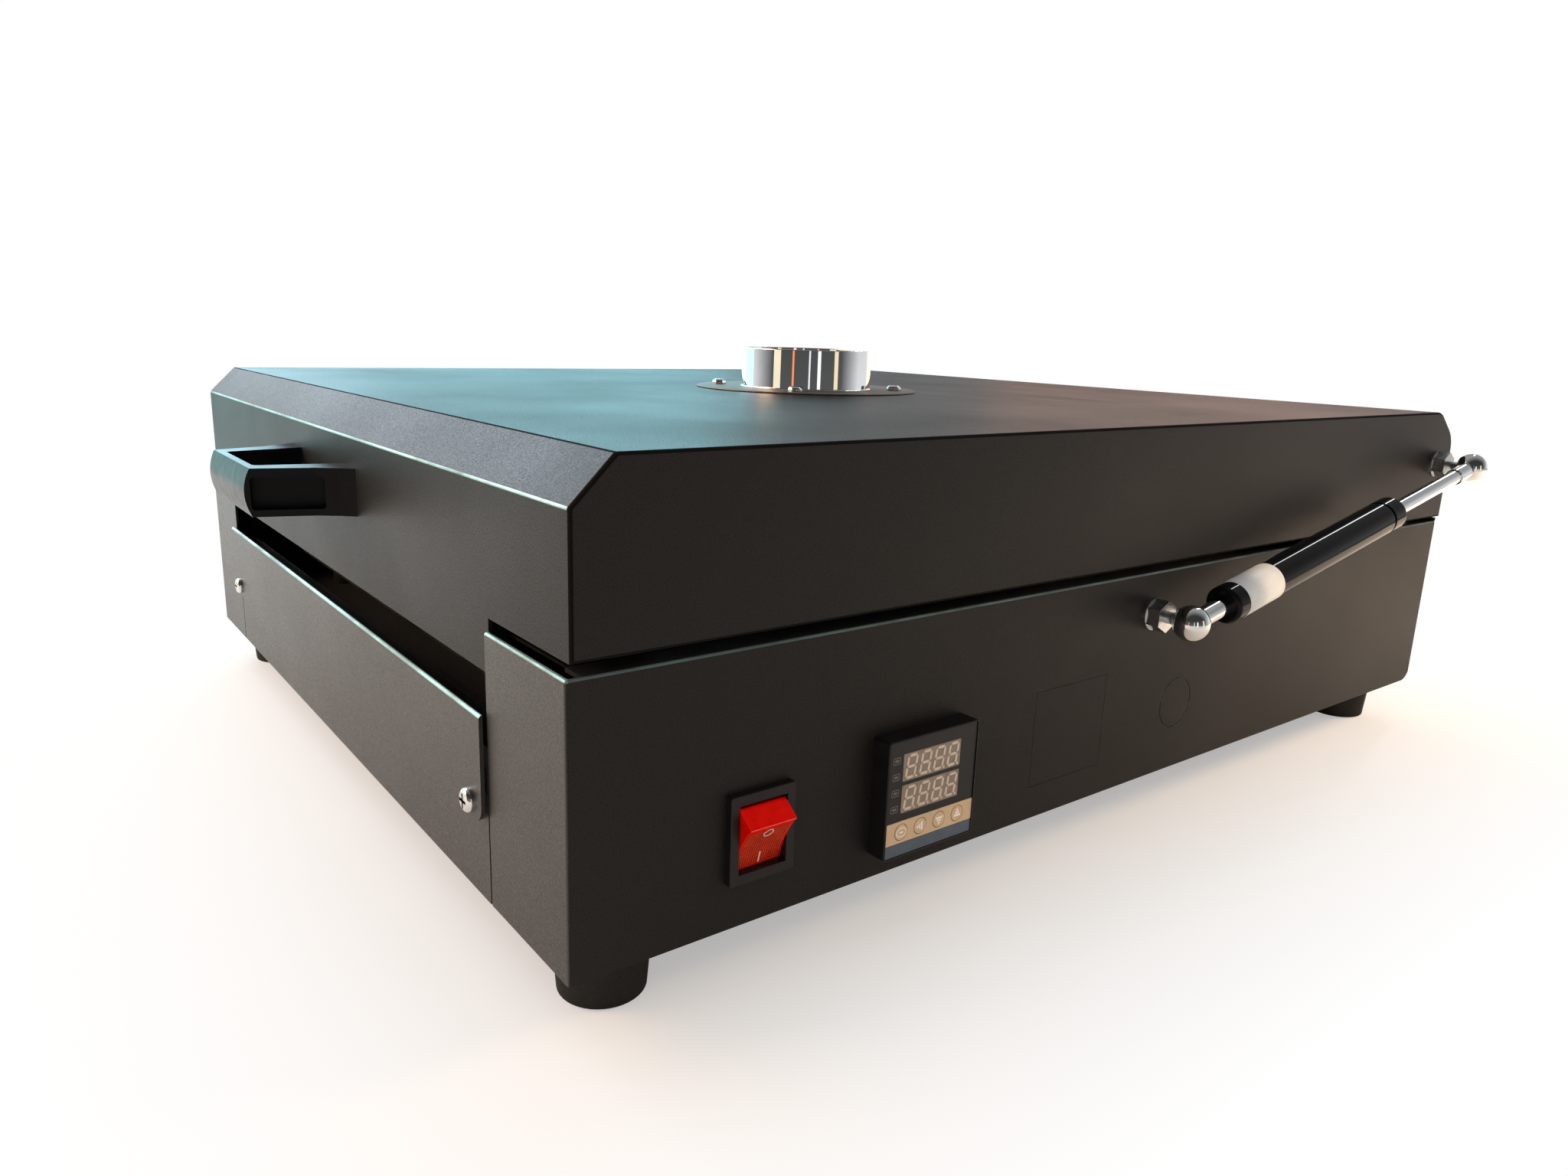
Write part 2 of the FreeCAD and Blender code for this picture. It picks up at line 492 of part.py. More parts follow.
# Temperature controller: bezel with a shallow face recess, case behind the panel, key bores
face_x = HW + CTRL_PROUD
ctrl_bezel = rounded_block(HW, CTRL_Y - CTRL_SIZE / 2, CTRL_Z - CTRL_SIZE / 2,
                           face_x, CTRL_Y + CTRL_SIZE / 2, CTRL_Z + CTRL_SIZE / 2, (1, 0, 0), 1.2)
ctrl_bezel = rounded(ctrl_bezel, 0.6, lambda e: all(abs(v.X - face_x) < 1e-6 for v in e.Vertexes))
ctrl_case = box(CASE_BACK, CTRL_Y - CTRL_CASE / 2, CTRL_Z - CTRL_CASE / 2,
                HW, CTRL_Y + CTRL_CASE / 2, CTRL_Z + CTRL_CASE / 2)
FACE_RECESS = 0.6
ctrl_cuts = [box(face_x - FACE_RECESS, CTRL_Y - 23.3, CTRL_Z - 23.3, face_x, CTRL_Y + 23.3, CTRL_Z + 23.3)]
key_spots = [(CTRL_Y + KEY_U0 + KEY_PITCH * k, CTRL_Z + KEY_V) for k in range(len(KEY_NAMES))]
ctrl_cuts += [cyl(KEY_BORE_R, (face_x - 5, y, z), (1, 0, 0), 5) for y, z in key_spots]
nodes["controller_case"] = cut(join([ctrl_bezel, ctrl_case]), ctrl_cuts)
for name, (y, z) in zip(KEY_NAMES, key_spots):
    key = cyl(KEY_R, (face_x - 4.2, y, z), (1, 0, 0), 4.2 - FACE_RECESS + 0.45)
    nodes[name] = rounded(key, 0.3, lambda e: len(e.Vertexes) == 1 and e.Vertexes[0].X > face_x - 1)
clamp = box(HW - SHEET - 10, CTRL_Y - 28, CTRL_Z - 28, HW - SHEET, CTRL_Y + 28, CTRL_Z + 28)
clamp_hole = box(HW - SHEET - 10, CTRL_Y - 22.3, CTRL_Z - 22.3, HW - SHEET, CTRL_Y + 22.3, CTRL_Z + 22.3)
nodes["controller_clamp"] = clamp.cut(clamp_hole)

# Bay wiring: inlet to switch, switch to controller, relay to heaters
SPADE_TOP = SWITCH_Z + 9.7
BAY_WIRES = [
    [(INLET_X - 7, REAR_Y - 33, INLET_Z - 0.1), (204, 250, 66), (204, -200, 66),
     (216, SWITCH_Y - 6, 50), (224, SWITCH_Y - 6, SPADE_TOP)],
    [(INLET_X + 7, REAR_Y - 33, INLET_Z - 0.1), (212, 244, 74), (212, -190, 74),
     (218, SWITCH_Y + 6, 50), (225, SWITCH_Y + 6, SPADE_TOP)],
    [(217, RELAY_Y + 22, SINK_TOP + 19), (217, RELAY_Y + 22, 62), (206, 236, 62),
     (201, 255, 54), (186, 255, 54)],
]
nodes["bay_wiring"] = group([wire_run(points, 1.3) for points in BAY_WIRES])

# Hinges: packer on the base, knuckled leaves, one pin each
packers = []
base_leaves = []
lid_leaves = []
pins = []
base_screws = []
lid_screws = []
hinge_high = [(sx * HINGE_X + dx, 128.0) for sx in (-1, 1) for dx in (-20, 0, 20)]


def relief(x0, x1):
    return cyl(BARREL_R + 0.4, (x0 - 0.3, HINGE_Y, HINGE_Z), (1, 0, 0), x1 - x0 + 0.6)


def knuckles(mid, spans):
    return [cyl(BARREL_R, (mid + a, HINGE_Y, HINGE_Z), (1, 0, 0), b - a) for a, b in spans]


def pin_bore(mid, gap):
    return cyl(PIN_R + gap, (mid - 40, HINGE_Y, HINGE_Z), (1, 0, 0), 80)


for sx in (-1, 1):
    mid = sx * HINGE_X
    low_holes = [cyl(2.2, (mid + dx, REAR_Y, 80), (0, 1, 0), 12) for dx in (-20, 0, 20)]
    high_holes = [cyl(2.2, (mid + dx, LID_REAR - SHEET, 128), (0, 1, 0), 8) for dx in (-20, 0, 20)]
    packers.append(cut(box(mid - HINGE_HW, REAR_Y, 66, mid + HINGE_HW, LEAF_Y0, 98), low_holes))
    leaf = cut(box(mid - HINGE_HW, LEAF_Y0, 66, mid + HINGE_HW, LEAF_Y0 + LEAF_T, HINGE_Z - 1),
               low_holes + [relief(mid + a, mid + b) for a, b in LID_BARRELS])
    base_leaves.append(join([leaf] + knuckles(mid, BASE_BARRELS)).cut(pin_bore(mid, 0.02)))
    leaf = cut(box(mid - HINGE_HW, LEAF_Y0, HINGE_Z + 1, mid + HINGE_HW, LEAF_Y0 + LEAF_T, 142),
               high_holes + [relief(mid + a, mid + b) for a, b in BASE_BARRELS])
    lid_leaves.append(join([leaf] + knuckles(mid, LID_BARRELS)).cut(pin_bore(mid, 0.06)))
    pins.append(cyl(PIN_R, (mid - HINGE_HW, HINGE_Y, HINGE_Z), (1, 0, 0), 2 * HINGE_HW))
for x, z in hinge_low:
    base_screws.append(pan_screw((x, LEAF_Y0 + LEAF_T, z), (0, 1, 0), 2.0, 13.0, 4.0, 2.4))
    base_screws.append(hex_nut((x, REAR_Y - SHEET, z), (0, -1, 0), 7.0, 3.2, 2.05))
for x, z in hinge_high:
    lid_screws.append(pan_screw((x, LEAF_Y0 + LEAF_T, z), (0, 1, 0), 2.0, 8.0, 4.0, 2.4))
    lid_screws.append(hex_nut((x, LID_REAR - SHEET, z), (0, -1, 0), 7.0, 3.2, 2.05))
nodes["hinge_packers"] = group(packers)
nodes["hinge_base_leaves"] = group(base_leaves)
nodes["hinge_pins"] = group(pins)
nodes["hinge_base_screws"] = group(base_screws)
nodes["hinge_lid_leaves"] = group(lid_leaves)
nodes["hinge_lid_screws"] = group(lid_screws)

# Lid wrap: front skirt, chamfer, top, chamfer and rear skirt folded from one sheet
rear_angle = math.atan2(LID_TOP - LID_BEND_Z, REAR_CHAMFER)
front_take = SHEET * math.tan(math.radians(22.5))
lid_outline = [(LID_FRONT, CHEEK_FRONT_Z), (LID_FRONT, LID_BEND_Z), (LID_FRONT + FRONT_CHAMFER, LID_TOP),
               (LID_REAR - REAR_CHAMFER, LID_TOP), (LID_REAR, LID_BEND_Z), (LID_REAR, CHEEK_REAR_Z)]
lid_hollow = [(LID_FRONT + SHEET, CHEEK_REAR_Z - 5), (LID_FRONT + SHEET, LID_BEND_Z - front_take),
              (LID_FRONT + FRONT_CHAMFER + front_take, LID_TOP - SHEET),
              (LID_REAR - REAR_CHAMFER - SHEET * math.tan(rear_angle / 2), LID_TOP - SHEET),
              (LID_REAR - SHEET, LID_BEND_Z - SHEET * math.tan((math.pi / 2 - rear_angle) / 2)),
              (LID_REAR - SHEET, CHEEK_REAR_Z - 5)]
WRAP_HW = HW - SHEET
LID_BENDS = ((-1, LID_BEND_Z, FRONT_BEND_R), (-1, LID_TOP, FRONT_BEND_R),
             (1, LID_TOP, REAR_TOP_R), (1, LID_BEND_Z, REAR_LOW_R))


def bent(shape, inset):
    # Rounds the four fold lines of the lid's outline, seen from outside or from inside the sheet
    for end, level, radius in LID_BENDS:
        if radius > inset + 1:
            shape = rounded(shape, radius - inset, lambda e: runs_along((1, 0, 0))(e)
                            and e.Vertexes[0].Y * end > 0 and abs(e.Vertexes[0].Z - level) < 2)
    return shape


solid_lid = bent(prism_x(lid_outline, -WRAP_HW, WRAP_HW), 0)
wrap = solid_lid.cut(bent(prism_x(lid_hollow, -WRAP_HW, WRAP_HW), SHEET))
tongue = box(-FRONT_PANEL_HW, LID_FRONT, TONGUE_Z, FRONT_PANEL_HW, LID_FRONT + SHEET, CHEEK_FRONT_Z)
wrap = join([wrap, tongue])
SLEEVE_R = COLLAR_R - COLLAR_WALL - 0.05
DIAGONAL = FLANGE_SCREW_R * math.sqrt(0.5)
flange_spots = [(sx * DIAGONAL, sy * DIAGONAL) for sx in (-1, 1) for sy in (-1, 1)]
H_MID = (HANDLE_Z0 + HANDLE_Z1) / 2
handle_spots = [(-HANDLE_SCREW_X, H_MID), (HANDLE_SCREW_X, H_MID)]
wrap_cuts = [cyl(SLEEVE_R + 0.2, (0, 0, LID_TOP - SHEET), (0, 0, 1), SHEET)]
wrap_cuts += [cyl(2.2, (x, y, LID_TOP - SHEET), (0, 0, 1), SHEET) for x, y in flange_spots]
wrap_cuts += [cyl(2.7, (x, LID_FRONT, z), (0, 1, 0), SHEET) for x, z in handle_spots]
wrap_cuts += [cyl(2.2, (x, LID_REAR - SHEET, z), (0, 1, 0), SHEET) for x, z in hinge_high]
nodes["lid_wrap"] = cut(wrap, wrap_cuts)

# Lid cheeks welded on at both ends
cheek = bent(prism_x(lid_outline, WRAP_HW, HW), 0)
cheek = rounded(cheek, 1.3, lambda e: all(abs(v.X - HW) < 1e-6 for v in e.Vertexes))
nodes["lid_cheek_left"] = mirrored(cheek)
nodes["lid_cheek_right"] = cheek.cut(cyl(3.2, (WRAP_HW, STRUT_TOP.y, STRUT_TOP.z), (1, 0, 0), SHEET))

# Lid liner tray, its insulation and the duct sleeve through both
TRAY_Z = 126.0
TRAY_HW = 194.0
TRAY_HD = 272.0
CEILING = LID_TOP - SHEET
tray = box(-TRAY_HW, -TRAY_HD, TRAY_Z, TRAY_HW, TRAY_HD, CEILING)
tray_hollow = box(-TRAY_HW + LINER_T, -TRAY_HD + LINER_T, TRAY_Z + LINER_T,
                  TRAY_HW - LINER_T, TRAY_HD - LINER_T, CEILING)
nodes["lid_liner"] = cut(tray, [tray_hollow, cyl(SLEEVE_R + 0.2, (0, 0, TRAY_Z), (0, 0, 1), LINER_T)])
wool = box(-TRAY_HW + 1.3, -TRAY_HD + 1.3, TRAY_Z + LINER_T, TRAY_HW - 1.3, TRAY_HD - 1.3, CEILING - 4)
nodes["lid_insulation"] = wool.cut(cyl(SLEEVE_R + 1, (0, 0, TRAY_Z), (0, 0, 1), CEILING - TRAY_Z))
SLEEVE_Z = TRAY_Z - LINER_T
SLEEVE_H = LID_TOP + 6 - TRAY_Z
sleeve = join([cyl(SLEEVE_R, (0, 0, SLEEVE_Z), (0, 0, 1), SLEEVE_H),
               cyl(SLEEVE_R + 9, (0, 0, SLEEVE_Z), (0, 0, 1), LINER_T)])
nodes["duct_sleeve"] = sleeve.cut(cyl(SLEEVE_R - 1, (0, 0, SLEEVE_Z), (0, 0, 1), SLEEVE_H))

# Exhaust collar: flange, short pipe and a rounded root
collar = join([cyl(FLANGE_R, (0, 0, LID_TOP), (0, 0, 1), FLANGE_T),
               cyl(COLLAR_R, (0, 0, LID_TOP), (0, 0, 1), COLLAR_H)])
collar = rounded(collar, 2.5, lambda e: len(e.Vertexes) == 1
                 and abs(e.Vertexes[0].Z - LID_TOP - FLANGE_T) < 1e-6
                 and abs(e.BoundBox.XLength / 2 - COLLAR_R) < 1e-3)
collar_cuts = [cyl(2.2, (x, y, LID_TOP), (0, 0, 1), FLANGE_T) for x, y in flange_spots]
collar_cuts.append(cyl(COLLAR_R - COLLAR_WALL, (0, 0, LID_TOP), (0, 0, 1), COLLAR_H))
nodes["exhaust_collar"] = cut(collar, collar_cuts)
flange_fixings = []
for x, y in flange_spots:
    flange_fixings.append(pan_screw((x, y, LID_TOP + FLANGE_T), (0, 0, 1), 2.0, 6.0, 4.2, 3.0))
    flange_fixings.append(hex_nut((x, y, LID_TOP - SHEET), (0, 0, -1), 7.0, 3.0, 2.05))
nodes["flange_screws"] = group(flange_fixings)

# Handle: a loop with splayed legs, a bowed grip and a shallow pocket in each leg
HANDLE_FRONT = LID_FRONT - HANDLE_REACH


def two_sided(half):
    right = [(x, LID_FRONT - reach) for x, reach in half]
    left = [(-x, y) for x, y in reversed(right)]
    return prism_z(right + left, HANDLE_Z0, HANDLE_Z1)


bow = Part.Arc(V(-60, HANDLE_FRONT, HANDLE_Z0), V(-60, HANDLE_FRONT - HANDLE_BULGE, H_MID),
               V(-60, HANDLE_FRONT, HANDLE_Z1)).toShape()
back = [V(-60, HANDLE_FRONT, HANDLE_Z1), V(-60, LID_FRONT, HANDLE_Z1),
        V(-60, LID_FRONT, HANDLE_Z0), V(-60, HANDLE_FRONT, HANDLE_Z0)]
profile = Part.Wire([bow] + [Part.makeLine(a, b) for a, b in zip(back, back[1:])])
loop = two_sided(HANDLE_LEGS).common(Part.Face(profile).extrude(V(120, 0, 0)))
opening = rounded(two_sided(HANDLE_OPENING), 3.0,
                  lambda e: runs_along((0, 0, 1))(e) and e.Vertexes[0].Y < LID_FRONT - 10)
loop = loop.cut(opening)
(leg_x0, leg_r0), (leg_x1, leg_r1) = HANDLE_LEGS[-2:]
POCKET_REACH = 24.75
POCKET_HL = 14.9
pocket_x = leg_x0 + (leg_x1 - leg_x0) * (POCKET_REACH - leg_r0) / (leg_r1 - leg_r0)
slant = math.degrees(math.atan2(leg_x0 - leg_x1, leg_r1 - leg_r0))
pocket = rounded_block(-HANDLE_POCKET, -POCKET_HL, H_MID - 7.6, 20.0, POCKET_HL, H_MID + 6.6, (1, 0, 0), 1.6)
pocket.rotate(V(0, 0, 0), V(0, 0, 1), -slant)
pocket.translate(V(pocket_x, LID_FRONT - POCKET_REACH, 0))
loop = cut(loop, [pocket, mirrored(pocket)])
nodes["handle"] = cut(loop, [cyl(2.55, (x, LID_FRONT - 9.2, z), (0, 1, 0), 9.2) for x, z in handle_spots])
nodes["handle_screws"] = group([pan_screw((x, LID_FRONT + SHEET, z), (0, 1, 0), 2.5, 10.5, 4.6, 3.2)
                                for x, z in handle_spots])

# Rubber pads on the deck and the lid brackets that come down on them
pad_spots = [(sx * 238.0, -265.0) for sx in (-1, 1)]
nodes["rest_pads"] = group([cyl(6.0, (x, y, LINER_TOP), (0, 0, 1), 5.3) for x, y in pad_spots])
bracket = join([box(228, -280, 106.1, WRAP_HW, -250, 107.6),
                box(WRAP_HW - SHEET, -280, 106.1, WRAP_HW, -250, 124)])
nodes["rest_brackets"] = group([bracket, mirrored(bracket)])

# Ball studs: washer and hexagon on the panel, thread and nut inside, neck and ball outside
STUD_WASHER = 1.5
STUD_HEX = 6.5


def ball_stud(panel_x, centre, ball_r, neck_r):
    y, z = centre.y, centre.z
    shoulder = panel_x + STUD_WASHER + STUD_HEX
    washer = cyl(7.5, (panel_x, y, z), (1, 0, 0), STUD_WASHER)
    hexagon = hex_prism((panel_x + STUD_WASHER, y, z), (1, 0, 0), 13.0, STUD_HEX)
    neck = cyl(neck_r, (shoulder, y, z), (1, 0, 0), centre.x - shoulder)
    thread = cyl(3.0, (panel_x - 9, y, z), (1, 0, 0), 9)
    return join([washer, hexagon, neck, thread, Part.makeSphere(ball_r, centre)])


def stud_nut(panel_x, centre):
    return hex_nut((panel_x - SHEET, centre.y, centre.z), (-1, 0, 0), 10.0, 5.0, 3.05)


nodes["strut_base_stud"] = group([ball_stud(HW, STRUT_LOW, LOW_BALL_R, 2.8), stud_nut(HW, STRUT_LOW)])
nodes["strut_lid_stud"] = group([ball_stud(HW, STRUT_TOP, TOP_BALL_R, 2.4), stud_nut(HW, STRUT_TOP)])

# Gas strut, drawn upright along z and then laid on the line between its two balls
strut_line = STRUT_TOP.sub(STRUT_LOW)
STRUT_LEN = strut_line.Length
strut_tip = -math.degrees(math.atan2(strut_line.y, strut_line.z))


def lay_strut(shape):
    shape.rotate(V(0, 0, 0), V(1, 0, 0), strut_tip)
    shape.translate(STRUT_LOW)
    return shape


def socket(centre_s, stem_end, cavity_r, mouth_r):
    start = min(centre_s, stem_end)
    stem = cyl(STRUT_STEM_R, (0, 0, start), (0, 0, 1), abs(stem_end - centre_s))
    body = join([Part.makeSphere(STRUT_SOCKET_R, V(0, 0, centre_s)), stem])
    cavity = Part.makeSphere(cavity_r, V(0, 0, centre_s))
    mouth = cyl(mouth_r, (0, 0, centre_s), (-1, 0, 0), 12)
    return cut(body, [cavity, mouth])


tube = cyl(STRUT_TUBE_R, (0, 0, TUBE_START), (0, 0, 1), TUBE_END - TUBE_START)
tube = rounded(tube, 2.0, lambda e: len(e.Vertexes) == 1)
tube = cut(tube, [cyl(6.5, (0, 0, TUBE_START + 8), (0, 0, 1), TUBE_END - TUBE_START - 16),
                  cyl(STRUT_ROD_R + 0.06, (0, 0, TUBE_END - 10), (0, 0, 1), 12),
                  ring(STRUT_TUBE_R + 1, STRUT_TUBE_R - 0.7, (0, 0, TUBE_END - 14), (0, 0, 1), 2.0)])
nodes["strut_tube"] = lay_strut(tube)
nodes["strut_low_socket"] = lay_strut(socket(0, TUBE_START, LOW_BALL_R + 0.06, 4.6))
ROD_END = STRUT_LEN - 22.0
rod = join([cyl(STRUT_ROD_R, (0, 0, 60), (0, 0, 1), ROD_END - 60), cyl(6.1, (0, 0, 60), (0, 0, 1), 10)])
nodes["strut_rod"] = lay_strut(rod)
nodes["strut_top_socket"] = lay_strut(socket(STRUT_LEN, ROD_END, TOP_CAVITY_R, 6.0))

# Write every node as its own file in the shared frame
for name, shape in nodes.items():
    placed = shape.copy()
    placed.translate(ORIGIN)
    placed.exportStep("parts/" + name + ".step")
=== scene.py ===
import json
import math

import bmesh
import bpy
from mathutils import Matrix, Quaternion, Vector


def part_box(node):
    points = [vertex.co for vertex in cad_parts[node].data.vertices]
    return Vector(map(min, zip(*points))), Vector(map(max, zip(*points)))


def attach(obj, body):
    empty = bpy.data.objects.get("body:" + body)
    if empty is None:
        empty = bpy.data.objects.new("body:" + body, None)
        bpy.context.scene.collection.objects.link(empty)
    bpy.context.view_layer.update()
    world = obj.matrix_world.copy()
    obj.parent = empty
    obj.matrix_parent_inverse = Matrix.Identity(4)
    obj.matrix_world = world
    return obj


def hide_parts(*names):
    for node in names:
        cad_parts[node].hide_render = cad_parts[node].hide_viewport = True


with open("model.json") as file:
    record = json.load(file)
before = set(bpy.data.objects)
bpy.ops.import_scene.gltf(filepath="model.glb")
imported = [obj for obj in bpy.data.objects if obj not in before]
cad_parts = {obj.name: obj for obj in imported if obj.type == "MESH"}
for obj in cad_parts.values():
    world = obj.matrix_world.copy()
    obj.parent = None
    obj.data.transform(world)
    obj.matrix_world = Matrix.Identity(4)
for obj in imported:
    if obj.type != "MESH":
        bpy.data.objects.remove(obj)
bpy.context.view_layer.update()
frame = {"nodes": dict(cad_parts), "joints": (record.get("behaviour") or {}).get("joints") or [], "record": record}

scene = bpy.context.scene
scene.view_settings.view_transform = "Standard"
nodes = frame["nodes"]
joints = {joint["name"]: joint for joint in frame["joints"]}
MM = 0.001

# Camera, fitted to the casing's edges in the photograph
CAMERA_AT = (0.5165, -0.4155, 0.2295)
CAMERA_LOOK = (-0.77417, 0.58786, -0.23470)
CAMERA_ROLL = 1.84
CAMERA_LENS = 24.604
CAMERA_SHIFT = (0.0117, -0.0006)
CAMERA_SENSOR = 36.0
CLIP_START = 0.01

camera = bpy.data.objects.new("camera", bpy.data.cameras.new("camera"))
scene.collection.objects.link(camera)
camera.data.sensor_width = CAMERA_SENSOR
camera.data.lens = CAMERA_LENS
camera.data.shift_x, camera.data.shift_y = CAMERA_SHIFT
camera.data.clip_start = CLIP_START
camera.location = CAMERA_AT
camera.rotation_mode = "QUATERNION"
level = Vector(CAMERA_LOOK).to_track_quat("-Z", "Y")
camera.rotation_quaternion = level @ Quaternion((0, 0, 1), math.radians(CAMERA_ROLL))
scene.camera = camera

# Small helpers that build a node material
AXES = ((1, 0, 0), (0, 1, 0), (0, 0, 1))


def shader(name, colour, roughness, metallic=0.0):
    material = bpy.data.materials.new(name)
    material.use_nodes = True
    tree = material.node_tree
    bsdf = tree.nodes["Principled BSDF"]
    bsdf.inputs["Base Color"].default_value = (*colour, 1)
    bsdf.inputs["Roughness"].default_value = roughness
    bsdf.inputs["Metallic"].default_value = metallic
    coords = tree.nodes.new("ShaderNodeTexCoord").outputs["Object"]
    return material, tree, bsdf, coords


def stretched(tree, coords, scale):
    mapping = tree.nodes.new("ShaderNodeMapping")
    mapping.inputs["Scale"].default_value = scale
    tree.links.new(coords, mapping.inputs["Vector"])
    return mapping.outputs["Vector"]


def noise(tree, coords, scale, detail=3.0, roughness=0.55):
    node = tree.nodes.new("ShaderNodeTexNoise")
    node.inputs["Scale"].default_value = scale
    node.inputs["Detail"].default_value = detail
    node.inputs["Roughness"].default_value = roughness
    tree.links.new(coords, node.inputs["Vector"])
    return node.outputs["Fac"]


def cells(tree, coords, scale, feature="F1"):
    node = tree.nodes.new("ShaderNodeTexVoronoi")
    node.feature = feature
    node.inputs["Scale"].default_value = scale
    tree.links.new(coords, node.inputs["Vector"])
    return node.outputs


def remap(tree, value, low, high, new_low, new_high):
    node = tree.nodes.new("ShaderNodeMapRange")
    node.inputs["From Min"].default_value = low
    node.inputs["From Max"].default_value = high
    node.inputs["To Min"].default_value = new_low
    node.inputs["To Max"].default_value = new_high
    tree.links.new(value, node.inputs["Value"])
    return node.outputs["Result"]


def ramp(tree, value, stops):
    node = tree.nodes.new("ShaderNodeValToRGB")
    elements = node.color_ramp.elements
    while len(elements) < len(stops):
        elements.new(0.5)
    for element, (place, colour) in zip(elements, stops):
        element.position = place
        element.color = (*colour, 1)
    tree.links.new(value, node.inputs["Fac"])
    return node.outputs["Color"]


def combine(tree, kind, a, b=0.0):
    node = tree.nodes.new("ShaderNodeMath")
    node.operation = kind
    for socket, value in zip(node.inputs, (a, b)):
        if isinstance(value, (int, float)):
            socket.default_value = value
        else:
            tree.links.new(value, socket)
    return node.outputs["Value"]


def multiply(tree, first, *others):
    product = first
    for value in others:
        product = combine(tree, "MULTIPLY", product, value)
    return product


def vector_math(tree, kind, vector, constant):
    node = tree.nodes.new("ShaderNodeVectorMath")
    node.operation = kind
    tree.links.new(vector, node.inputs[0])
    node.inputs[1].default_value = constant
    return node.outputs["Value"]


def dot_with(tree, vector, direction):
    return vector_math(tree, "DOT_PRODUCT", vector, direction)


def distance_from(tree, vector, spot):
    return vector_math(tree, "DISTANCE", vector, spot)


def mix_colour(tree, factor, a, b):
    node = tree.nodes.new("ShaderNodeMix")
    node.data_type = "RGBA"
    tree.links.new(factor, node.inputs["Factor"])
    for socket, value in zip((node.inputs["A"], node.inputs["B"]), (a, b)):
        if isinstance(value, tuple):
            socket.default_value = (*value, 1)
        else:
            tree.links.new(value, socket)
    return node.outputs["Result"]


def bump(tree, bsdf, height, distance, strength):
    node = tree.nodes.new("ShaderNodeBump")
    node.inputs["Distance"].default_value = distance
    node.inputs["Strength"].default_value = strength
    tree.links.new(height, node.inputs["Height"])
    tree.links.new(node.outputs["Normal"], bsdf.inputs["Normal"])


# Grained materials: how much coarser the cloud is than the grain, and the middle span of a noise
CLOUD_RATIO = 9
TONE_SPAN = (0.35, 0.65)
NOISE_SPAN = (0.3, 0.7)
GRAIN_BUMP = 0.6


def grained(name, dark, light, rough, grain, depth, metallic=0.0, stretch=(1, 1, 1)):
    # Two close tones, a roughness that wanders between two values and a fine bump
    material, tree, bsdf, coords = shader(name, light, rough[0], metallic)
    coords = stretched(tree, coords, stretch)
    cloud = noise(tree, coords, grain / CLOUD_RATIO, 4.0)
    fine = noise(tree, coords, grain)
    tone = multiply(tree, combine(tree, "ADD", cloud, fine), 0.5)
    tree.links.new(ramp(tree, tone, list(zip(TONE_SPAN, (dark, light)))), bsdf.inputs["Base Color"])
    tree.links.new(remap(tree, cloud, *NOISE_SPAN, *rough), bsdf.inputs["Roughness"])
    bump(tree, bsdf, fine, depth, GRAIN_BUMP)
    return material


# Powder coat: tones, dust, bare metal on rubbed folds lightened as a painted highlight, painted shade as dark
# seams, and the scale of each
COAT_DARK = (0.0068, 0.0062, 0.0058)
COAT_LIGHT = (0.0152, 0.0136, 0.0122)
LID_DARK = (0.0058, 0.0063, 0.0064)
LID_LIGHT = (0.0132, 0.014, 0.0142)
COAT_SPAN = (0.36, 0.64)
COAT_GRAIN = 2300.0
COAT_DEPTH = 0.00014
COAT_BUMP = 0.8
COAT_CLOUD = 9.0
COAT_ROUGH = (0.41, 0.49)
GRAIN_ROUGH = 0.12
GLOSS = {"sheet": 0.75, "panel": 0.3, "lid": 0.17, "cheek": 0.16}
DUST = (0.32, 0.31, 0.29)
SPECK_SCALE = 130.0
SPECK_R = (0.05, 0.09)
SPECK_PATCHES = 23.0
SPECK_STRENGTH = 0.35
# Mint tone of bare metal on folds and cut edges, lightened as a painted highlight
BARE_EDGE_AND_HIGHLIGHT = (0.34, 0.53, 0.52)
WEAR_SCALE = 45.0
# Near-black tone for seams and folds: painted shade along the lid's creases and the cheek joints
SEAM_SHADE = (0.0035, 0.0033, 0.003)
FOLD_SPAN = (0.998, 0.982)
CHAMFER = (0, -math.sqrt(0.5), math.sqrt(0.5))
POST_EDGE_Y = (-0.2796, -0.2794)
SMEAR_AT = (0.07, 0.11, 0.19)
SMEAR_R = (0.03, 0.1)
SMEAR_STREAKS = (9.0, 60.0, 9.0)
SMEAR_STRENGTH = 0.16


def fold_mask(tree, normal, flats):
    # One on the narrow rounded folds, nought on every flat face
    nearest = combine(tree, "ABSOLUTE", dot_with(tree, normal, flats[0]))
    for direction in flats[1:]:
        along = combine(tree, "ABSOLUTE", dot_with(tree, normal, direction))
        nearest = combine(tree, "MAXIMUM", nearest, along)
    return remap(tree, nearest, *FOLD_SPAN, 0.0, 1.0)


def wiped_smear(tree, coords):
    # Dusty streaks round one spot
    streaks = noise(tree, stretched(tree, coords, SMEAR_STREAKS), 1.0, 4.0)
    near = remap(tree, distance_from(tree, coords, SMEAR_AT), *SMEAR_R, SMEAR_STRENGTH, 0.0)
    return multiply(tree, near, remap(tree, streaks, 0.5, 0.68, 0.0, 1.0))


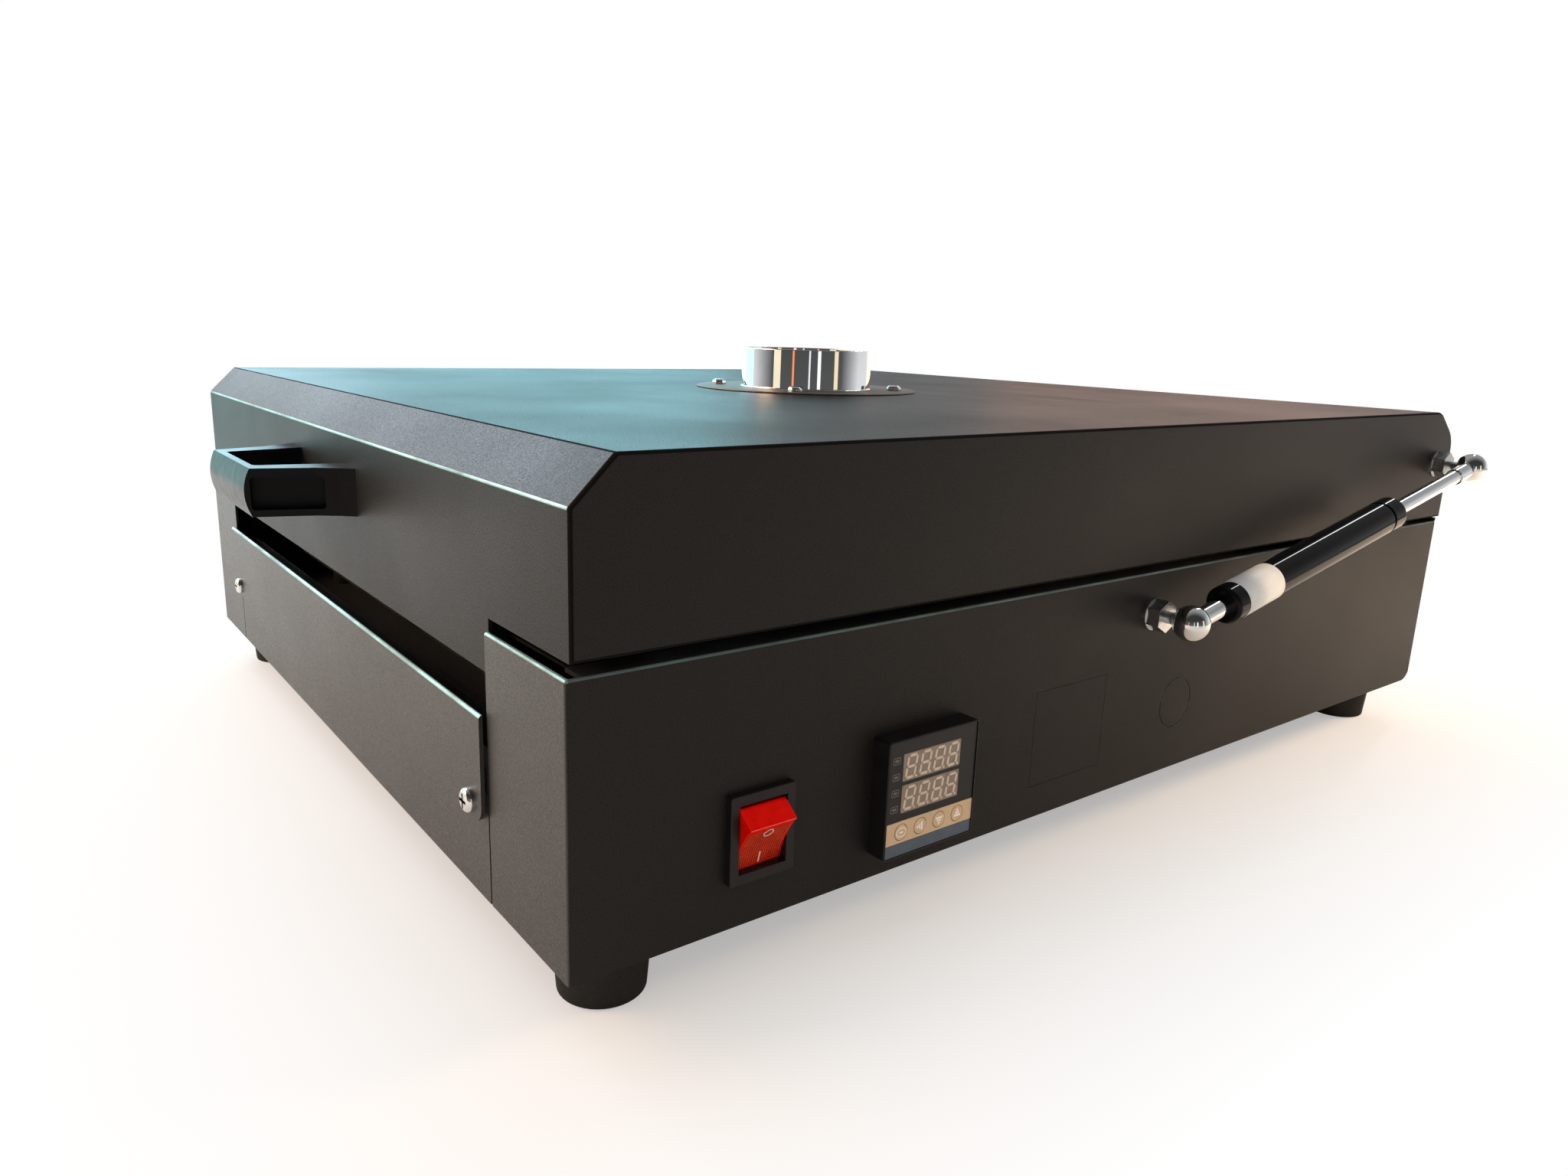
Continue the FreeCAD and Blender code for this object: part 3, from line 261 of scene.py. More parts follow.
def powder_coat(name, kind):
    # Fine-grained black coat. The kind says which folds are rubbed bare, with a painted highlight, and which are
    # dark seams of painted shade
    material, tree, bsdf, coords = shader(name, COAT_LIGHT, COAT_ROUGH[0])
    gloss = bsdf.inputs["Specular IOR Level"]
    gloss.default_value = GLOSS[kind]
    normal = tree.nodes.new("ShaderNodeTexCoord").outputs["Normal"]
    sideways, backward, upward = [dot_with(tree, normal, axis) for axis in AXES]
    fold = fold_mask(tree, normal, (*AXES, CHAMFER) if kind == "lid" else AXES)
    flat_top = remap(tree, upward, 0.85, 0.98, 0.0, 1.0)
    uneven = remap(tree, noise(tree, coords, WEAR_SCALE), 0.3, 0.55, 0.5, 1.0)

    # Grain in tone and roughness, and specks of dust on the flat tops
    grain = noise(tree, coords, COAT_GRAIN, 1.0)
    tones = (LID_DARK, LID_LIGHT) if kind == "lid" else (COAT_DARK, COAT_LIGHT)
    colour = ramp(tree, grain, list(zip(COAT_SPAN, tones)))
    cloud = remap(tree, noise(tree, coords, COAT_CLOUD, 5.0), *NOISE_SPAN, *COAT_ROUGH)
    matt = combine(tree, "ADD", cloud, remap(tree, grain, *NOISE_SPAN, GRAIN_ROUGH, -GRAIN_ROUGH))
    specks = remap(tree, cells(tree, coords, SPECK_SCALE)["Distance"], *SPECK_R, 1.0, 0.0)
    sparse = remap(tree, noise(tree, coords, SPECK_PATCHES, 2.0), 0.56, 0.66, 0.0, SPECK_STRENGTH)
    colour = mix_colour(tree, multiply(tree, specks, sparse, flat_top), colour, DUST)

    # Seams darkened as painted shade, the lid's smear, and the folds where bare metal shows as a painted highlight
    if kind == "cheek":
        # Painted shade darkens every fold of the cheek
        colour = mix_colour(tree, fold, colour, SEAM_SHADE)
        matt = combine(tree, "MAXIMUM", matt, fold)
    elif kind == "lid":
        # Painted shade darkens the lid's folds other than the front one
        colour = mix_colour(tree, fold, colour, SEAM_SHADE)
        colour = mix_colour(tree, multiply(tree, wiped_smear(tree, coords), flat_top), colour, DUST)
        front_fold = remap(tree, backward, -0.75, -0.8, 0.0, 1.0)
        other_folds = remap(tree, front_fold, 0.0, 1.0, 1.0, 0.0)
        matt = combine(tree, "MAXIMUM", matt, multiply(tree, fold, other_folds))
        bare_and_highlight = multiply(tree, fold, uneven, front_fold)
    else:
        # Only folds facing up and forward take the bare tone: a painted highlight where light falls
        skyward = remap(tree, upward, 0.12, 0.3, 0.0, 1.0)
        ahead = remap(tree, backward, 0.02, -0.3, 0.22, 1.0)
        forward = remap(tree, backward, 0.02, 0.1, 1.0, 0.0)
        bare_and_highlight = multiply(tree, fold, uneven, skyward, ahead, forward)
    if kind == "panel":
        # The post tops take the same bare tone, partly a painted highlight
        front = remap(tree, dot_with(tree, coords, AXES[1]), *POST_EDGE_Y, 1.0, 0.0)
        bare_and_highlight = combine(tree, "MAXIMUM", bare_and_highlight, multiply(tree, front, flat_top, uneven))
        sides = remap(tree, combine(tree, "ABSOLUTE", sideways), 0.5, 0.9, GLOSS["sheet"], GLOSS["cheek"])
        tree.links.new(sides, gloss)
    if kind != "cheek":
        # The bare tone is mixed in, and also serves as a painted highlight
        colour = mix_colour(tree, bare_and_highlight, colour, BARE_EDGE_AND_HIGHLIGHT)
        tree.links.new(bare_and_highlight, bsdf.inputs["Metallic"])
    tree.links.new(colour, bsdf.inputs["Base Color"])
    tree.links.new(matt, bsdf.inputs["Roughness"])
    bump(tree, bsdf, grain, COAT_DEPTH, COAT_BUMP)
    return material


# Galvanised steel: the flakes of its spangle
FLAKE_SCALE = 95.0
FLAKE_DARK = (0.47, 0.49, 0.5)
FLAKE_LIGHT = (0.66, 0.67, 0.68)
FLAKE_ROUGH = (0.3, 0.5)


def spangled_steel(name):
    material, tree, bsdf, coords = shader(name, FLAKE_LIGHT, FLAKE_ROUGH[0], 1.0)
    flake = cells(tree, coords, FLAKE_SCALE)["Color"]
    tone = ramp(tree, flake, [(0.1, FLAKE_DARK), (0.9, FLAKE_LIGHT)])
    tree.links.new(tone, bsdf.inputs["Base Color"])
    tree.links.new(remap(tree, flake, 0.0, 1.0, *FLAKE_ROUGH), bsdf.inputs["Roughness"])
    bump(tree, bsdf, noise(tree, coords, 300.0), 0.00005, 0.4)
    return material


# Lens plastic of the rocker, which lets some light in
LENS_ROUGH = 0.24
LENS_GLOSS = 0.04
GLOW_WEIGHT = 0.3
GLOW_RADIUS = (1.0, 0.15, 0.08)
GLOW_DEPTH = 0.003


def red_lens(name, dark, light):
    material, tree, bsdf, coords = shader(name, light, LENS_ROUGH)
    cloud = noise(tree, coords, 260.0)
    tree.links.new(ramp(tree, cloud, list(zip(NOISE_SPAN, (dark, light)))), bsdf.inputs["Base Color"])
    bsdf.inputs["Specular IOR Level"].default_value = LENS_GLOSS
    bsdf.inputs["Subsurface Weight"].default_value = GLOW_WEIGHT
    bsdf.inputs["Subsurface Radius"].default_value = GLOW_RADIUS
    bsdf.inputs["Subsurface Scale"].default_value = GLOW_DEPTH
    bump(tree, bsdf, noise(tree, coords, 700.0), 0.00003, 0.4)
    return material


# Name: dark tone, light tone, roughness range, grain per metre, bump depth, metallic, stretch
GRAINED = {
    "zinc": ((0.52, 0.54, 0.55), (0.68, 0.69, 0.68), (0.2, 0.3), 900.0, 0.00003, 1.0),
    "chrome": ((0.66, 0.67, 0.68), (0.74, 0.75, 0.76), (0.03, 0.07), 60.0, 0.000002, 1.0),
    # Dark brownish tone of the flange steel, partly a painted reflection of a dim warm room
    "dull_chrome": ((0.15, 0.135, 0.12), (0.25, 0.23, 0.21), (0.5, 0.62), 400.0, 0.00002, 1.0, (1, 0.3, 1)),
    "alloy": ((0.62, 0.63, 0.64), (0.8, 0.81, 0.82), (0.3, 0.42), 500.0, 0.00003, 1.0, (1.0, 0.03, 1.0)),
    "rubber": ((0.005, 0.005, 0.005), (0.013, 0.0125, 0.012), (0.65, 0.82), 700.0, 0.0001),
    "black_plastic": ((0.004, 0.004, 0.0043), (0.009, 0.009, 0.0095), (0.42, 0.52), 1900.0, 0.00004),
    "gloss_black": ((0.0025, 0.0025, 0.0028), (0.006, 0.006, 0.0065), (0.3, 0.37), 1500.0, 0.00004),
    "strut_enamel": ((0.003, 0.003, 0.0034), (0.006, 0.006, 0.0066), (0.05, 0.09), 120.0, 0.000004),
    "key_film": ((0.5, 0.36, 0.22), (0.58, 0.43, 0.28), (0.38, 0.46), 1200.0, 0.00002),
    "ceramic": ((0.8, 0.78, 0.71), (0.88, 0.86, 0.8), (0.55, 0.7), 600.0, 0.00008),
    # Near-black tones for the chamber parts seen in the opening: painted shade of the recess
    "sooted_ceramic": ((0.012, 0.011, 0.01), (0.03, 0.028, 0.025), (0.7, 0.85), 300.0, 0.00008),
    "scorched_board": ((0.012, 0.011, 0.01), (0.03, 0.028, 0.026), (0.85, 0.95), 500.0, 0.0003),
    "scorched_plate": ((0.08, 0.077, 0.072), (0.13, 0.125, 0.117), (0.4, 0.55), 300.0, 0.00005, 1.0),
    "scorched_steel": ((0.011, 0.0105, 0.01), (0.027, 0.025, 0.023), (0.5, 0.65), 240.0, 0.00005, 1.0),
    "fibre": ((0.78, 0.76, 0.7), (0.9, 0.89, 0.85), (0.9, 1.0), 450.0, 0.0004, 0.0, (1.0, 0.25, 1.0)),
    "brass": ((0.68, 0.5, 0.22), (0.8, 0.63, 0.34), (0.25, 0.38), 700.0, 0.00003, 1.0),
    "white_plastic": ((0.72, 0.71, 0.67), (0.82, 0.82, 0.79), (0.4, 0.5), 900.0, 0.00004),
    "wire_cover": ((0.08, 0.07, 0.24), (0.15, 0.13, 0.36), (0.38, 0.48), 800.0, 0.00003),
    "print_white": ((0.74, 0.72, 0.69), (0.84, 0.82, 0.79), (0.45, 0.55), 1500.0, 0.00001),
    "digit_white": ((0.5, 0.43, 0.35), (0.6, 0.52, 0.43), (0.4, 0.5), 1500.0, 0.00001),
    # Pale red of the crest bead: a painted highlight along the crest
    "lens_edge": ((0.72, 0.08, 0.05), (0.9, 0.2, 0.14), (0.2, 0.3), 900.0, 0.00001),
    "label_paper": ((0.76, 0.76, 0.75), (0.86, 0.86, 0.85), (0.3, 0.4), 900.0, 0.00002),
    "face_film": ((0.006, 0.006, 0.007), (0.011, 0.011, 0.0125), (0.3, 0.38), 900.0, 0.00001),
    "window_film": ((0.18, 0.145, 0.11), (0.24, 0.195, 0.15), (0.25, 0.33), 700.0, 0.00001),
    "slate_film": ((0.045, 0.07, 0.1), (0.065, 0.095, 0.135), (0.35, 0.43), 1200.0, 0.00001),
    "pill_grey": ((0.08, 0.08, 0.08), (0.12, 0.12, 0.115), (0.4, 0.5), 1500.0, 0.00001),
}
materials = {name: grained(name, *values) for name, values in GRAINED.items()}
SHEEN = {"strut_enamel": 0.12, "black_plastic": 0.3, "gloss_black": 0.1, "rubber": 0.3, "face_film": 0.3}
for name, sheen in SHEEN.items():
    materials[name].node_tree.nodes["Principled BSDF"].inputs["Specular IOR Level"].default_value = sheen
materials["galvanised"] = spangled_steel("galvanised")
COATS = {"powder_coat": "sheet", "panel_coat": "panel", "lid_coat": "lid", "cheek_coat": "cheek"}
for name, kind in COATS.items():
    materials[name] = powder_coat(name, kind)
LENSES = {
    "red_lens": ((0.7, 0.003, 0.0015), (0.8, 0.006, 0.002)),
    "dark_lens": ((0.2, 0.004, 0.002), (0.3, 0.008, 0.004)),
    "amber_lens": ((0.7, 0.04, 0.012), (0.85, 0.07, 0.02)),
}
for name, (dark, light) in LENSES.items():
    materials[name] = red_lens(name, dark, light)

# Nodes that differ from their slot: rubbed panels with painted highlights on bare edges, the lid with its painted
# seam shade, and chamber parts darkened as painted shade inside the opening
FINISHES = {
    "side_panel_left": "panel_coat",
    "side_panel_right": "panel_coat",
    "lid_wrap": "lid_coat",
    "lid_cheek_left": "cheek_coat",
    "lid_cheek_right": "cheek_coat",
    "insulation_board": "scorched_board",
    "heating_plate": "scorched_plate",
    "chamber_liner": "scorched_steel",
    "lid_liner": "scorched_steel",
    "rest_brackets": "scorched_steel",
    "plate_standoffs": "sooted_ceramic",
}
for row in frame["record"]["subparts"]:
    mesh = nodes[row["node"]].data
    mesh.materials.clear()
    mesh.materials.append(materials[FINISHES.get(row["node"], row["material_slot"])])


# Helpers that build small pieces in the casing's own millimetres


def smooth_all(bm, sharp_from=0.6):
    for face in bm.faces:
        face.smooth = True
    for edge in bm.edges:
        edge.smooth = edge.calc_face_angle(0.0) < sharp_from


def new_piece(name, bm, material, body):
    bmesh.ops.recalc_face_normals(bm, faces=bm.faces)
    mesh = bpy.data.meshes.new(name)
    bm.to_mesh(mesh)
    bm.free()
    mesh.materials.append(materials[material])
    piece = bpy.data.objects.new(name, mesh)
    scene.collection.objects.link(piece)
    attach(piece, body)
    return piece


def add_slab(bm, outline, x0, x1, place, holes=()):
    # A flat outline in y and z, with any holes, given a thickness along x
    edges = []
    for loop in (outline, *holes):
        ring = [bm.verts.new(place(x0, u, v)) for u, v in loop]
        edges += [bm.edges.new((ring[k - 1], ring[k])) for k in range(len(ring))]
    filled = bmesh.ops.triangle_fill(bm, use_beauty=True, use_dissolve=True, edges=edges)
    flat = [item for item in filled["geom"] if isinstance(item, bmesh.types.BMFace)]
    raised = bmesh.ops.extrude_face_region(bm, geom=flat)
    lift = place(x1, 0, 0) - place(x0, 0, 0)
    tops = [item for item in raised["geom"] if isinstance(item, bmesh.types.BMVert)]
    bmesh.ops.translate(bm, vec=lift, verts=tops)


def bridge(bm, loops, closed):
    # Faces between neighbouring loops of points. An open run gets a cap at each end
    for before, after in zip(loops, loops[1:]):
        for j in range(len(after)):
            bm.faces.new((before[j - 1], before[j], after[j], after[j - 1]))
    if closed:
        for j in range(len(loops[0])):
            bm.faces.new((loops[-1][j - 1], loops[-1][j], loops[0][j], loops[0][j - 1]))
    else:
        bm.faces.new(loops[0])
        bm.faces.new(loops[-1])


def full_turn(count):
    return [2 * math.pi * k / count for k in range(count)]


def oval(u, v, half_w, half_h, count=32):
    return [(u + half_w * math.cos(a), v + half_h * math.sin(a)) for a in full_turn(count)]


def circle(u, v, radius, count=28):
    return oval(u, v, radius, radius, count)


def rounded_rect(u0, v0, u1, v1, radius, count=5):
    corners = [(u1 - radius, v1 - radius, 0), (u0 + radius, v1 - radius, 90),
               (u0 + radius, v0 + radius, 180), (u1 - radius, v0 + radius, 270)]
    outline = []
    for cu, cv, start in corners:
        for k in range(count + 1):
            a = math.radians(start + 90 * k / count)
            outline.append((cu + radius * math.cos(a), cv + radius * math.sin(a)))
    return outline


# Controller face: film, two windows with unlit digits, indicator pills, key band and name band
FACE_RECESS = 0.6
FACE_HALF = 23.2
FACE_CORNER = 0.8
FILM_FOOT = 0.01
FILM_LOW = -8.9
FILM_T = 0.15
PRINT_T = 0.06
BAND_T = 0.25
KEY_BAND = (-18.0, -9.1)
NAME_BAND_TOP = -18.15
case_low, case_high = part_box("controller_case")
face_middle = (Vector(case_low) + Vector(case_high)) / 2
FACE_X = case_high[0] / MM - FACE_RECESS


def on_face(x, u, v):
    return Vector((FACE_X + x, face_middle.y / MM + u, face_middle.z / MM + v)) * MM


WINDOWS = ((7.0, 18.0), (-5.8, 5.4))
WINDOW_U = (-16.2, 14.3)
bm = bmesh.new()
film = rounded_rect(-FACE_HALF, FILM_LOW, FACE_HALF, FACE_HALF, FACE_CORNER)
add_slab(bm, film, FILM_FOOT, FILM_T, on_face)
new_piece("controller_face", bm, "face_film", "base")

bm = bmesh.new()
for low, high in WINDOWS:
    add_slab(bm, rounded_rect(WINDOW_U[0], low, WINDOW_U[1], high, 0.5), FILM_T, FILM_T + PRINT_T, on_face)
new_piece("controller_windows", bm, "window_film", "base")

# Each digit is seven bars with pointed ends, and a dot
DIGITS = 4
DIGIT_W = 4.5
DIGIT_H = 8.6
DIGIT_PITCH = 7.4
DIGIT_MARGIN = 1.4
DIGIT_SLANT = math.tan(math.radians(9))
BAR = 1.05
GAP = 0.3
DOT_AT = (0.95, -0.1)
DOT_R = 0.5
SEGMENTS = (((0, 0), (1, 0)), ((0, 1), (1, 1)), ((0, 2), (1, 2)),
            ((0, 0), (0, 1)), ((0, 1), (0, 2)), ((1, 0), (1, 1)), ((1, 1), (1, 2)))


def segment_outline(start, end):
    along = (end - start).normalized()
    across = Vector((-along.y, along.x)) * BAR / 2
    shoulder = along * BAR / 2
    tip0 = start + along * GAP
    tip1 = end - along * GAP
    return [tip0, tip0 + shoulder + across, tip1 - shoulder + across,
            tip1, tip1 - shoulder - across, tip0 + shoulder - across]


bm = bmesh.new()
for low, high in WINDOWS:
    for k in range(DIGITS):
        u0 = WINDOW_U[0] + DIGIT_MARGIN + DIGIT_PITCH * k
        v0 = (low + high - DIGIT_H) / 2
        outlines = [circle(u0 + DIGIT_W + DOT_AT[0], v0 + DOT_AT[1], DOT_R, 14)]
        for ends in SEGMENTS:
            start, end = [Vector((a * DIGIT_W, b * DIGIT_H / 2)) for a, b in ends]
            points = segment_outline(start, end)
            outlines.append([(u0 + p.x + p.y * DIGIT_SLANT, v0 + p.y) for p in points])
        for outline in outlines:
            add_slab(bm, outline, FILM_T + PRINT_T, FILM_T + 2 * PRINT_T, on_face)
new_piece("controller_digits", bm, "digit_white", "base")

# Each pill is an outline and a short bar in it
PILL_ROWS = (16.0, 9.5, 3.1, -3.5)
PILL_U = (-21.5, -17.7)
PILL_HH = 1.4


def pill(v, inset, radius):
    half_h = PILL_HH - inset
    return rounded_rect(PILL_U[0] + inset, v - half_h, PILL_U[1] - inset, v + half_h, radius)


bm = bmesh.new()
for v in PILL_ROWS:
    add_slab(bm, pill(v, 0.0, 0.7), FILM_T, FILM_T + PRINT_T, on_face, [pill(v, 0.3, 0.5)])
    add_slab(bm, pill(v, 0.9, 0.3), FILM_T, FILM_T + PRINT_T, on_face)
new_piece("controller_pills", bm, "pill_grey", "base")

# The key band has a hole round each key, and each key carries a mark
KEYS = ("key_set", "key_left", "key_down", "key_up")
KEY_HOLE_R = 3.42
key_spots = []
for key in KEYS:
    low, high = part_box(key)
    middle = ((Vector(low) + Vector(high)) / 2 - face_middle) / MM
    key_spots.append((middle.y, middle.z))
bm = bmesh.new()
add_slab(bm, rounded_rect(-FACE_HALF, KEY_BAND[0], FACE_HALF, KEY_BAND[1], 0.3), FILM_FOOT, BAND_T, on_face,
         [circle(u, v, KEY_HOLE_R) for u, v in key_spots])
new_piece("controller_key_band", bm, "key_film", "base")
bm = bmesh.new()
name_band = rounded_rect(-FACE_HALF, -FACE_HALF, FACE_HALF, NAME_BAND_TOP, FACE_CORNER)
add_slab(bm, name_band, FILM_FOOT, BAND_T, on_face)
new_piece("controller_name_band", bm, "slate_film", "base")

KEY_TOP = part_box("key_set")[1][0] / MM - FACE_X
ARROWS = {"key_left": (-1, 0), "key_down": (0, -1), "key_up": (0, 1)}
ARROW_R = 2.3
ARROW_BANDS = ((-1.15, -0.25), (0.05, 0.75), (1.05, 2.25))
SET_RING = ((2.7, 1.9), (2.35, 1.55))
SET_BAR = (1.1, 0.35)
for key, (u, v) in zip(KEYS, key_spots):
    bm = bmesh.new()
    if key in ARROWS:
        tip_u, tip_v = ARROWS[key]
        for start, end in ARROW_BANDS:
            band = [(t, side * (ARROW_R - t) / math.sqrt(3)) for t, side in
                    ((start, 1), (start, -1), (end, -1), (end, 1))]
            mark = [(u + t * tip_u - w * tip_v, v + t * tip_v + w * tip_u) for t, w in band]
            add_slab(bm, mark, KEY_TOP, KEY_TOP + PRINT_T, on_face)
    else:
        outer, inner = [oval(u, v, *halves) for halves in SET_RING]
        add_slab(bm, outer, KEY_TOP, KEY_TOP + PRINT_T, on_face, [inner])
        add_slab(bm, oval(u, v, *SET_BAR), KEY_TOP, KEY_TOP + PRINT_T, on_face)
    new_piece(key + "_mark", bm, "print_white", key)

# Rocker: a fine lens grid on its hollow face, a bead on its crest coloured pale as a painted highlight, a ring and
# a bar
CREST_X = 7.3
CREST_Z = 10.4
HOLLOW_X = 5.9
ROCKER_HW = 9.9
ROCKER_TILT = math.radians(26)
ARC_R = (CREST_Z ** 2 + (CREST_X - HOLLOW_X) ** 2) / (2 * (CREST_X - HOLLOW_X))
ARC_MIDDLE = HOLLOW_X + ARC_R
FACE_HL = ARC_R * math.asin(CREST_Z / ARC_R)
rocker_pivot = Vector(joints["rocker_tilt"]["pos_m"])


def on_rocker(lift, u, w):
    # u runs across the face and w along its hollow curve, in millimetres
    angle = w / ARC_R
    radius = ARC_R - lift
    x = ARC_MIDDLE - radius * math.cos(angle)
    z = radius * math.sin(angle)
    turned_x = x * math.cos(ROCKER_TILT) + z * math.sin(ROCKER_TILT)
    turned_z = z * math.cos(ROCKER_TILT) - x * math.sin(ROCKER_TILT)
    return rocker_pivot + Vector((turned_x, u, turned_z)) * MM


def curved_bar(bm, u_ends, w_ends, lifts, count=8):
    # A bar that follows the hollow face along w
    corners = ((lifts[0], u_ends[0]), (lifts[0], u_ends[1]), (lifts[1], u_ends[1]), (lifts[1], u_ends[0]))
    steps = [w_ends[0] + (w_ends[1] - w_ends[0]) * k / count for k in range(count + 1)]
    bridge(bm, [[bm.verts.new(on_rocker(lift, u, w)) for lift, u in corners] for w in steps], False)


def curved_ring(bm, w_middle, outer, inner, lifts, count=36):
    # A flat ring that follows the hollow face
    corners = ((lifts[0], outer), (lifts[0], inner), (lifts[1], inner), (lifts[1], outer))
    bridge(bm, [[bm.verts.new(on_rocker(lift, r * math.cos(a), w_middle + r * math.sin(a)))
                 for lift, r in corners] for a in full_turn(count)], True)


LENS_U = (-8.9, 9.1)
LENS_W = (-9.9, 7.1)
LENS_CELL = 1.0
LENS_DOT = 0.36
LENS_FOOT = 0.05
LENS_PEAK = 0.22
LENS_BASE = (-0.1, 0.06)
bm = bmesh.new()
columns = round((LENS_U[1] - LENS_U[0]) / LENS_CELL)
rows = round((LENS_W[1] - LENS_W[0]) / LENS_CELL)
for i in range(columns):
    for j in range(rows):
        u = LENS_U[0] + LENS_CELL * (i + 0.5)
        w = LENS_W[0] + LENS_CELL * (j + 0.5)
        corners = [(u + su * LENS_DOT, w + sw * LENS_DOT) for su, sw in ((-1, -1), (1, -1), (1, 1), (-1, 1))]
        base = [bm.verts.new(on_rocker(LENS_FOOT, *corner)) for corner in corners]
        peak = bm.verts.new(on_rocker(LENS_PEAK, u, w))
        for k in range(4):
            bm.faces.new((base[k - 1], base[k], peak))
        bm.faces.new(base)
new_piece("rocker_lens_grid", bm, "amber_lens", "rocker")

bm = bmesh.new()
curved_bar(bm, LENS_U, LENS_W, LENS_BASE, 16)
new_piece("rocker_lens_base", bm, "dark_lens", "rocker")

# The bead is drawn paler than the lens as a painted highlight
BEAD_R = 0.16
BEAD_LIFT = 0.05
BEAD_W = FACE_HL - 0.15
BEAD_HL = ROCKER_HW - 0.3
bm = bmesh.new()
bead = circle(BEAD_LIFT, BEAD_W, BEAD_R, 12)
bridge(bm, [[bm.verts.new(on_rocker(lift, u, w)) for lift, w in bead] for u in (-BEAD_HL, BEAD_HL)], False)
new_piece("rocker_crest", bm, "lens_edge", "rocker")

PRINT_LIFT = (0.05, 0.24)
RING_W = 5.3
RING_R = (2.0, 1.76)
MARK_HW = 0.16
MARK_W = (-9.4, -4.9)
bm = bmesh.new()
curved_ring(bm, RING_W, *RING_R, PRINT_LIFT)
curved_bar(bm, (-MARK_HW, MARK_HW), MARK_W, PRINT_LIFT)
new_piece("rocker_marks", bm, "print_white", "rocker")

# Strut: a bare paper label round the tube
LABEL_S = (33.0, 62.0)
LABEL_R = (9.01, 9.07)
LABEL_STEPS = 72
strut_foot = Vector(joints["strut_pivot"]["pos_m"])
strut_along = Vector(joints["strut_extend"]["axis"]).normalized()
strut_out = Vector((1, 0, 0))
strut_over = strut_along.cross(strut_out)
label_section = [(LABEL_S[0], LABEL_R[0]), (LABEL_S[0], LABEL_R[1]),
                 (LABEL_S[1], LABEL_R[1]), (LABEL_S[1], LABEL_R[0])]
bm = bmesh.new()
rings = []
for a in full_turn(LABEL_STEPS):
    spoke = strut_out * math.cos(a) + strut_over * math.sin(a)
    rings.append([bm.verts.new(strut_foot + (strut_along * s + spoke * r) * MM) for s, r in label_section])
bridge(bm, rings, True)
smooth_all(bm)
new_piece("strut_label", bm, "label_paper", "strut_cylinder")

# Exhaust collar turned in one piece: flange, root fillet, thin pipe and a rounded rim
COLLAR_R = 40.0
COLLAR_BORE = 39.05
FLANGE_R = 68.0
FLANGE_T = 1.0
FLANGE_EDGE = 0.4
ROOT_R = 0.8
RIM_R = 0.45
TURN_STEPS = 192
collar_low, collar_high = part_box("exhaust_collar")
collar_h = (collar_high[2] - collar_low[2]) / MM
collar_foot = (Vector(collar_low) + Vector(collar_high)) / 2
collar_foot.z = collar_low[2]


def arc(r, z, radius, start, end, count=8):
    angles = [math.radians(start + (end - start) * k / count) for k in range(count + 1)]
    return [(r + radius * math.cos(a), z + radius * math.sin(a)) for a in angles]


profile = [(COLLAR_BORE, 0.0), (FLANGE_R, 0.0)]
profile += arc(FLANGE_R - FLANGE_EDGE, FLANGE_T - FLANGE_EDGE, FLANGE_EDGE, 0, 90, 4)
profile += arc(COLLAR_R + ROOT_R, FLANGE_T + ROOT_R, ROOT_R, 270, 180)
profile += arc(COLLAR_R - RIM_R, collar_h - RIM_R, RIM_R, 0, 180)
bm = bmesh.new()
bridge(bm, [[bm.verts.new(collar_foot + Vector((r * math.cos(a), r * math.sin(a), z)) * MM)
             for r, z in profile] for a in full_turn(TURN_STEPS)], True)
smooth_all(bm)
collar = new_piece("collar_turned", bm, "chrome", "lid")
collar.data.materials.append(materials["dull_chrome"])
# The flange's faces take the duller finish, whose dark brownish tone is partly a painted reflection of a dim warm
# room
for face in collar.data.polygons:
    if face.center.z < collar_foot.z + 1.05 * FLANGE_T * MM:
        face.material_index = 1
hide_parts("exhaust_collar")

# Floor that fades into the white background behind the object and away from its footprint
LOOK_FLAT = Vector((CAMERA_LOOK[0], CAMERA_LOOK[1], 0)).normalized()
FLOOR_R = 6.0
FLOOR_COLOUR = (0.9, 0.9, 0.9)
FLOOR_ROUGH = 0.9
FADE_OVER = 0.14
FADE_START = 0.4
FADE_BEHIND = (0.9, 1.8)


def seen_rays(tree):
    rays = tree.nodes.new("ShaderNodeLightPath").outputs
    mirrored = combine(tree, "MAXIMUM", rays["Is Glossy Ray"], rays["Is Transmission Ray"])
    return combine(tree, "MAXIMUM", rays["Is Camera Ray"], mirrored)


def distance_outside(tree, coords, box):
    # Distance on the floor from the edge of the box's footprint
    low, high = box
    squares = []
    for k, axis in enumerate(AXES[:2]):
        middle = (low[k] + high[k]) / 2
        offset = combine(tree, "SUBTRACT", dot_with(tree, coords, axis), middle)
        over = combine(tree, "SUBTRACT", combine(tree, "ABSOLUTE", offset), (high[k] - low[k]) / 2)
        squares.append(combine(tree, "POWER", combine(tree, "MAXIMUM", over, 0.0), 2.0))
    return combine(tree, "SQRT", combine(tree, "ADD", *squares))


